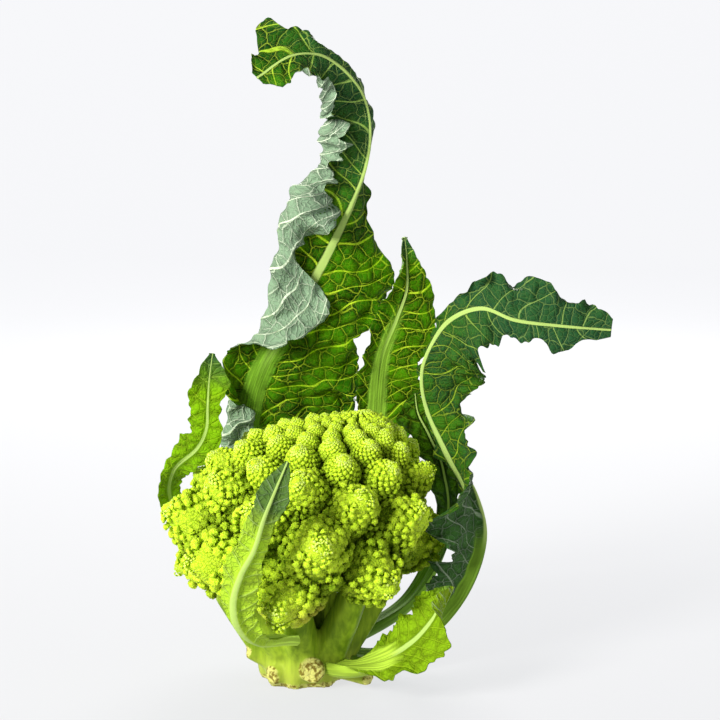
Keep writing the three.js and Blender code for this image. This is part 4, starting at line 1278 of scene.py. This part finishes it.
def backdrop(look):
    """A pale floor that curves up into a wall behind."""
    wide, near, far, bend, high = 4.0, -2.2, 1.6, 0.8, 3.0
    line = [(near, 0.0), (far, 0.0)]
    for a in np.linspace(0.1, math.pi / 2, 14):
        line.append((far + bend * math.sin(a), bend - bend * math.cos(a)))
    line.append((far + bend, high))
    points = [[x, y, z] for y, z in line for x in (-wide, wide)]
    faces = [[k, k + 1, k + 3, k + 2] for k in range(0, 2 * len(line) - 2, 2)]
    mesh = bpy.data.meshes.new("floor")
    mesh.from_pydata(points, [], faces)
    mesh.shade_smooth()
    recipe = Recipe("floor_paint")
    where = recipe.node("ShaderNodeNewGeometry").outputs["Position"]
    tone = recipe.blend(recipe.noise(where, 3.0) * 0.3, tuple(look.floor_colour), (0.126, 0.126, 0.128))
    depth = recipe.measure(where, "Y")
    glow = recipe.blend((depth + 0.1) * 0.5, tuple(look.near_glow), tuple(look.far_glow))
    paint = recipe.node(
        "ShaderNodeBsdfPrincipled",
        {},
        Base_Color=tone,
        Roughness=0.9,
        Specular_IOR_Level=0.1,
        Emission_Color=glow,
        Emission_Strength=1.0,
    )
    mesh.materials.append(recipe.surface(paint.outputs[0]))
    floor = bpy.data.objects.new("floor", mesh)
    bpy.context.scene.collection.objects.link(floor)


def aimed(thing, place, target):
    """A lamp or camera put in its place and turned to its target."""
    thing.location = place
    thing.rotation_euler = (Vector(target) - Vector(place)).to_track_quat("-Z", "Y").to_euler()
    bpy.context.scene.collection.objects.link(thing)


def lamp(name, place, power, size, colour):
    """A round lamp that faces the head."""
    light = bpy.data.lights.new(name, "AREA")
    light.shape = "DISK"
    light.energy, light.size, light.color = power, size, colour
    aimed(bpy.data.objects.new(name, light), place, LAMP_TARGET)


# What a user may change


class CurdLook(bpy.types.PropertyGroup):
    bud_colour: FloatVectorProperty(
        name="Buds", description="Colour of the buds",
        subtype="COLOR", default=(0.52, 0.74, 0.03), min=0, max=1,
    )
    # Partly painted highlight: the palest colour, put on the buds' tips.
    pale_tip_and_highlight_colour: FloatVectorProperty(
        name="Tips", description="Colour of the buds' tips",
        subtype="COLOR", default=(0.76, 0.92, 0.3), min=0, max=1,
    )
    # Painted shade: the valleys' colour is the dark end of the shade painted between the buds and florets.
    valley_shade_colour: FloatVectorProperty(
        name="Valleys", description="Colour between the buds",
        subtype="COLOR", default=(0.07, 0.14, 0.002), min=0, max=1,
    )
    dry_colour: FloatVectorProperty(
        name="Dry patches", description="Colour of dry patches below",
        subtype="COLOR", default=(0.4, 0.26, 0.06), min=0, max=1,
    )
    grain_strength: FloatProperty(
        name="Grain", description="Strength of the buds' fine grain",
        default=0.8, min=0, max=1,
    )


class StemLook(bpy.types.PropertyGroup):
    flesh: FloatVectorProperty(
        name="Flesh", description="Colour of the stem",
        subtype="COLOR", default=(0.27, 0.4, 0.02), min=0, max=1,
    )
    shade: FloatVectorProperty(
        name="Streaks", description="Colour of the stem's streaks",
        subtype="COLOR", default=(0.1, 0.18, 0.008), min=0, max=1,
    )
    foot: FloatVectorProperty(
        name="Foot", description="Colour near the cut",
        subtype="COLOR", default=(0.4, 0.46, 0.06), min=0, max=1,
    )
    cut_colour: FloatVectorProperty(
        name="Cut", description="Colour of the dried cut",
        subtype="COLOR", default=(0.16, 0.1, 0.02), min=0, max=1,
    )
    pale_cut: FloatVectorProperty(
        name="Fresh cut", description="Palest colour of the cut",
        subtype="COLOR", default=(0.6, 0.58, 0.17), min=0, max=1,
    )


class LeafLook(bpy.types.PropertyGroup):
    blade_thickness: FloatProperty(
        name="Blade", description="Thickness of a blade",
        default=0.0007, min=0.0005, max=0.0012, unit="LENGTH",
    )
    puckering: FloatProperty(
        name="Puckering", description="How far blades swell between veins",
        default=1, min=0, max=2,
    )
    tooth_depth: FloatProperty(
        name="Teeth", description="How deep the margins are toothed",
        default=1, min=0, max=2,
    )
    glow: FloatProperty(
        name="Glow", description="How much light blades let through",
        default=1, min=0, max=1.3,
    )
    bloom_colour: FloatVectorProperty(
        name="Bloom", description="Waxy bloom on the blades",
        subtype="COLOR", default=(0.02, 0.08, 0.045), min=0, max=1,
    )
    rib_colour: FloatVectorProperty(
        name="Midribs", description="Midribs of the blades",
        subtype="COLOR", default=(0.42, 0.58, 0.15), min=0, max=1,
    )
    cut_colour: FloatVectorProperty(
        name="Cut", description="Dried ends of the stalks",
        subtype="COLOR", default=(0.3, 0.2, 0.06), min=0, max=1,
    )
    vein_colour: FloatVectorProperty(
        name="Veins", description="Veins on the upper side",
        subtype="COLOR", default=(0.5, 0.72, 0.03), min=0, max=1,
    )
    under_vein_colour: FloatVectorProperty(
        name="Under veins", description="Veins on the under side",
        subtype="COLOR", default=(0.8, 0.93, 0.68), min=0, max=1,
    )
    dark_colour: FloatVectorProperty(
        name="Dark parts", description="Dark parts of the leaves",
        subtype="COLOR", default=(0.014, 0.06, 0.028), min=0, max=1,
    )
    dark_vein_colour: FloatVectorProperty(
        name="Veins there", description="Veins of the dark parts",
        subtype="COLOR", default=(0.26, 0.42, 0.15), min=0, max=1,
    )


class StageLook(bpy.types.PropertyGroup):
    floor_colour: FloatVectorProperty(
        name="Floor", description="Colour of the floor",
        subtype="COLOR", default=(0.12, 0.12, 0.122), min=0, max=1,
    )
    near_glow: FloatVectorProperty(
        name="Near glow", description="Light of the floor near the head",
        subtype="COLOR", default=(0.68, 0.685, 0.7), min=0, max=1,
    )
    far_glow: FloatVectorProperty(
        name="Far glow", description="Light of the wall behind",
        subtype="COLOR", default=(0.84, 0.845, 0.865), min=0, max=1,
    )
    sky_strength: FloatProperty(
        name="Surroundings", description="Strength of light from all round",
        default=0.2, min=0, max=3,
    )
    key_power: FloatProperty(
        name="Key lamp", description="Main lamp, left",
        default=56, min=0, max=500, unit="POWER",
    )
    back_power: FloatProperty(
        name="Back lamp", description="Lamp behind the leaves",
        default=22, min=0, max=500, unit="POWER",
    )
    fill_power: FloatProperty(
        name="Fill lamp", description="Lamp at the right",
        default=5, min=0, max=500, unit="POWER",
    )


class HEAD_OT_curd(bpy.types.Operator):
    """Builds the florets and their buds"""

    bl_idname = "romanesco.curd"
    bl_label = "Curd"

    def execute(self, context):
        places, length, table = floret_places()
        finish = curd_finish(context.scene.romanesco_curd)
        draws = np.random.default_rng(42)
        for name, (first, last) in FLORET_GROUPS.items():
            numbers = range(first, min(last, len(places)))
            made = curd_group([places[i] for i in numbers], numbers, places, draws)
            if name == "curd_crown":
                made = together([made, core_mesh(length, table)])
            points, faces, buds, florets = made
            notes = {"bud_rise": buds, "floret_rise": florets}
            new_piece(name, points, faces, notes, finish, "curd")
        return {"FINISHED"}


class HEAD_OT_stem(bpy.types.Operator):
    """Builds the cut stem and the florets' stalks"""

    bl_idname = "romanesco.stem"
    bl_label = "Stem"

    def execute(self, context):
        points, faces, notes = stem_mesh(floret_places()[0])
        finish = stem_finish(context.scene.romanesco_stem)
        new_piece("fluted_stem", points, faces, notes, finish, "stem")
        return {"FINISHED"}


class HEAD_OT_leaves(bpy.types.Operator):
    """Builds the leaves with their veins and teeth"""

    bl_idname = "romanesco.leaves"
    bl_label = "Leaves"

    def execute(self, context):
        look = context.scene.romanesco_leaves
        for leaf in LEAVES:
            own = {**USUAL_LOOK, **LEAF_LOOKS[leaf["name"]]}
            points, faces, notes = leaf_mesh(leaf, own, look)
            finish = leaf_finish(leaf["name"], own, look)
            node = leaf["name"]
            new_piece("veined_" + node, points, faces, notes, finish, node)
        return {"FINISHED"}


class HEAD_OT_stage(bpy.types.Operator):
    """Builds the floor, the lamps and the camera"""

    bl_idname = "romanesco.stage"
    bl_label = "Stage"

    def execute(self, context):
        look = context.scene.romanesco_stage
        backdrop(look)
        world = bpy.data.worlds.new("surroundings")
        world.use_nodes = True
        air = world.node_tree.nodes["Background"]
        air.inputs[0].default_value = (0.95, 0.97, 1.0, 1)
        air.inputs[1].default_value = look.sky_strength
        context.scene.world = world
        lamp("key_lamp", KEY_LAMP, look.key_power, 0.6, (1.0, 0.98, 0.95))
        lamp("back_lamp", BACK_LAMP, look.back_power, 0.9, (1.0, 0.99, 0.96))
        lamp("fill_lamp", FILL_LAMP, look.fill_power, 1.2, (0.96, 0.98, 1.0))
        back = Vector((0, -math.cos(CAMERA_ELEVATION), math.sin(CAMERA_ELEVATION)))
        place = Vector(CAMERA_TARGET) + back * CAMERA_DISTANCE
        camera = bpy.data.objects.new("camera", bpy.data.cameras.new("camera"))
        aimed(camera, place, CAMERA_TARGET)
        camera.data.lens = CAMERA_LENS
        camera.data.clip_start, camera.data.clip_end = 0.05, 50
        context.scene.camera = camera
        context.scene.view_settings.view_transform = "Standard"
        return {"FINISHED"}


class HEAD_PT_panel(bpy.types.Panel):
    """Lists the pieces and what can be changed"""

    bl_label = "Romanesco"
    bl_space_type = "VIEW_3D"
    bl_region_type = "UI"
    bl_category = "Romanesco"

    def draw(self, context):
        for operator, group in PIECES:
            box = self.layout.box()
            box.operator(operator.bl_idname)
            settings = getattr(context.scene, group)
            for value in settings.bl_rna.properties.keys():
                if value not in ("rna_type", "name"):
                    box.prop(settings, value)


PIECES = [
    (HEAD_OT_stage, "romanesco_stage"),
    (HEAD_OT_curd, "romanesco_curd"),
    (HEAD_OT_stem, "romanesco_stem"),
    (HEAD_OT_leaves, "romanesco_leaves"),
]
LOOKS = {
    "romanesco_curd": CurdLook,
    "romanesco_stem": StemLook,
    "romanesco_leaves": LeafLook,
    "romanesco_stage": StageLook,
}
CLASSES = [*LOOKS.values(), *(operator for operator, _ in PIECES), HEAD_PT_panel]


def register():
    for made in CLASSES:
        bpy.utils.register_class(made)
    for name, group in LOOKS.items():
        setattr(bpy.types.Scene, name, PointerProperty(type=group))


def unregister():
    for name in LOOKS:
        delattr(bpy.types.Scene, name)
    for made in reversed(CLASSES):
        bpy.utils.unregister_class(made)


def main():
    register()
    bpy.ops.romanesco.stage()
    bpy.ops.romanesco.curd()
    bpy.ops.romanesco.stem()
    bpy.ops.romanesco.leaves()


if __name__ == "__main__":
    main()
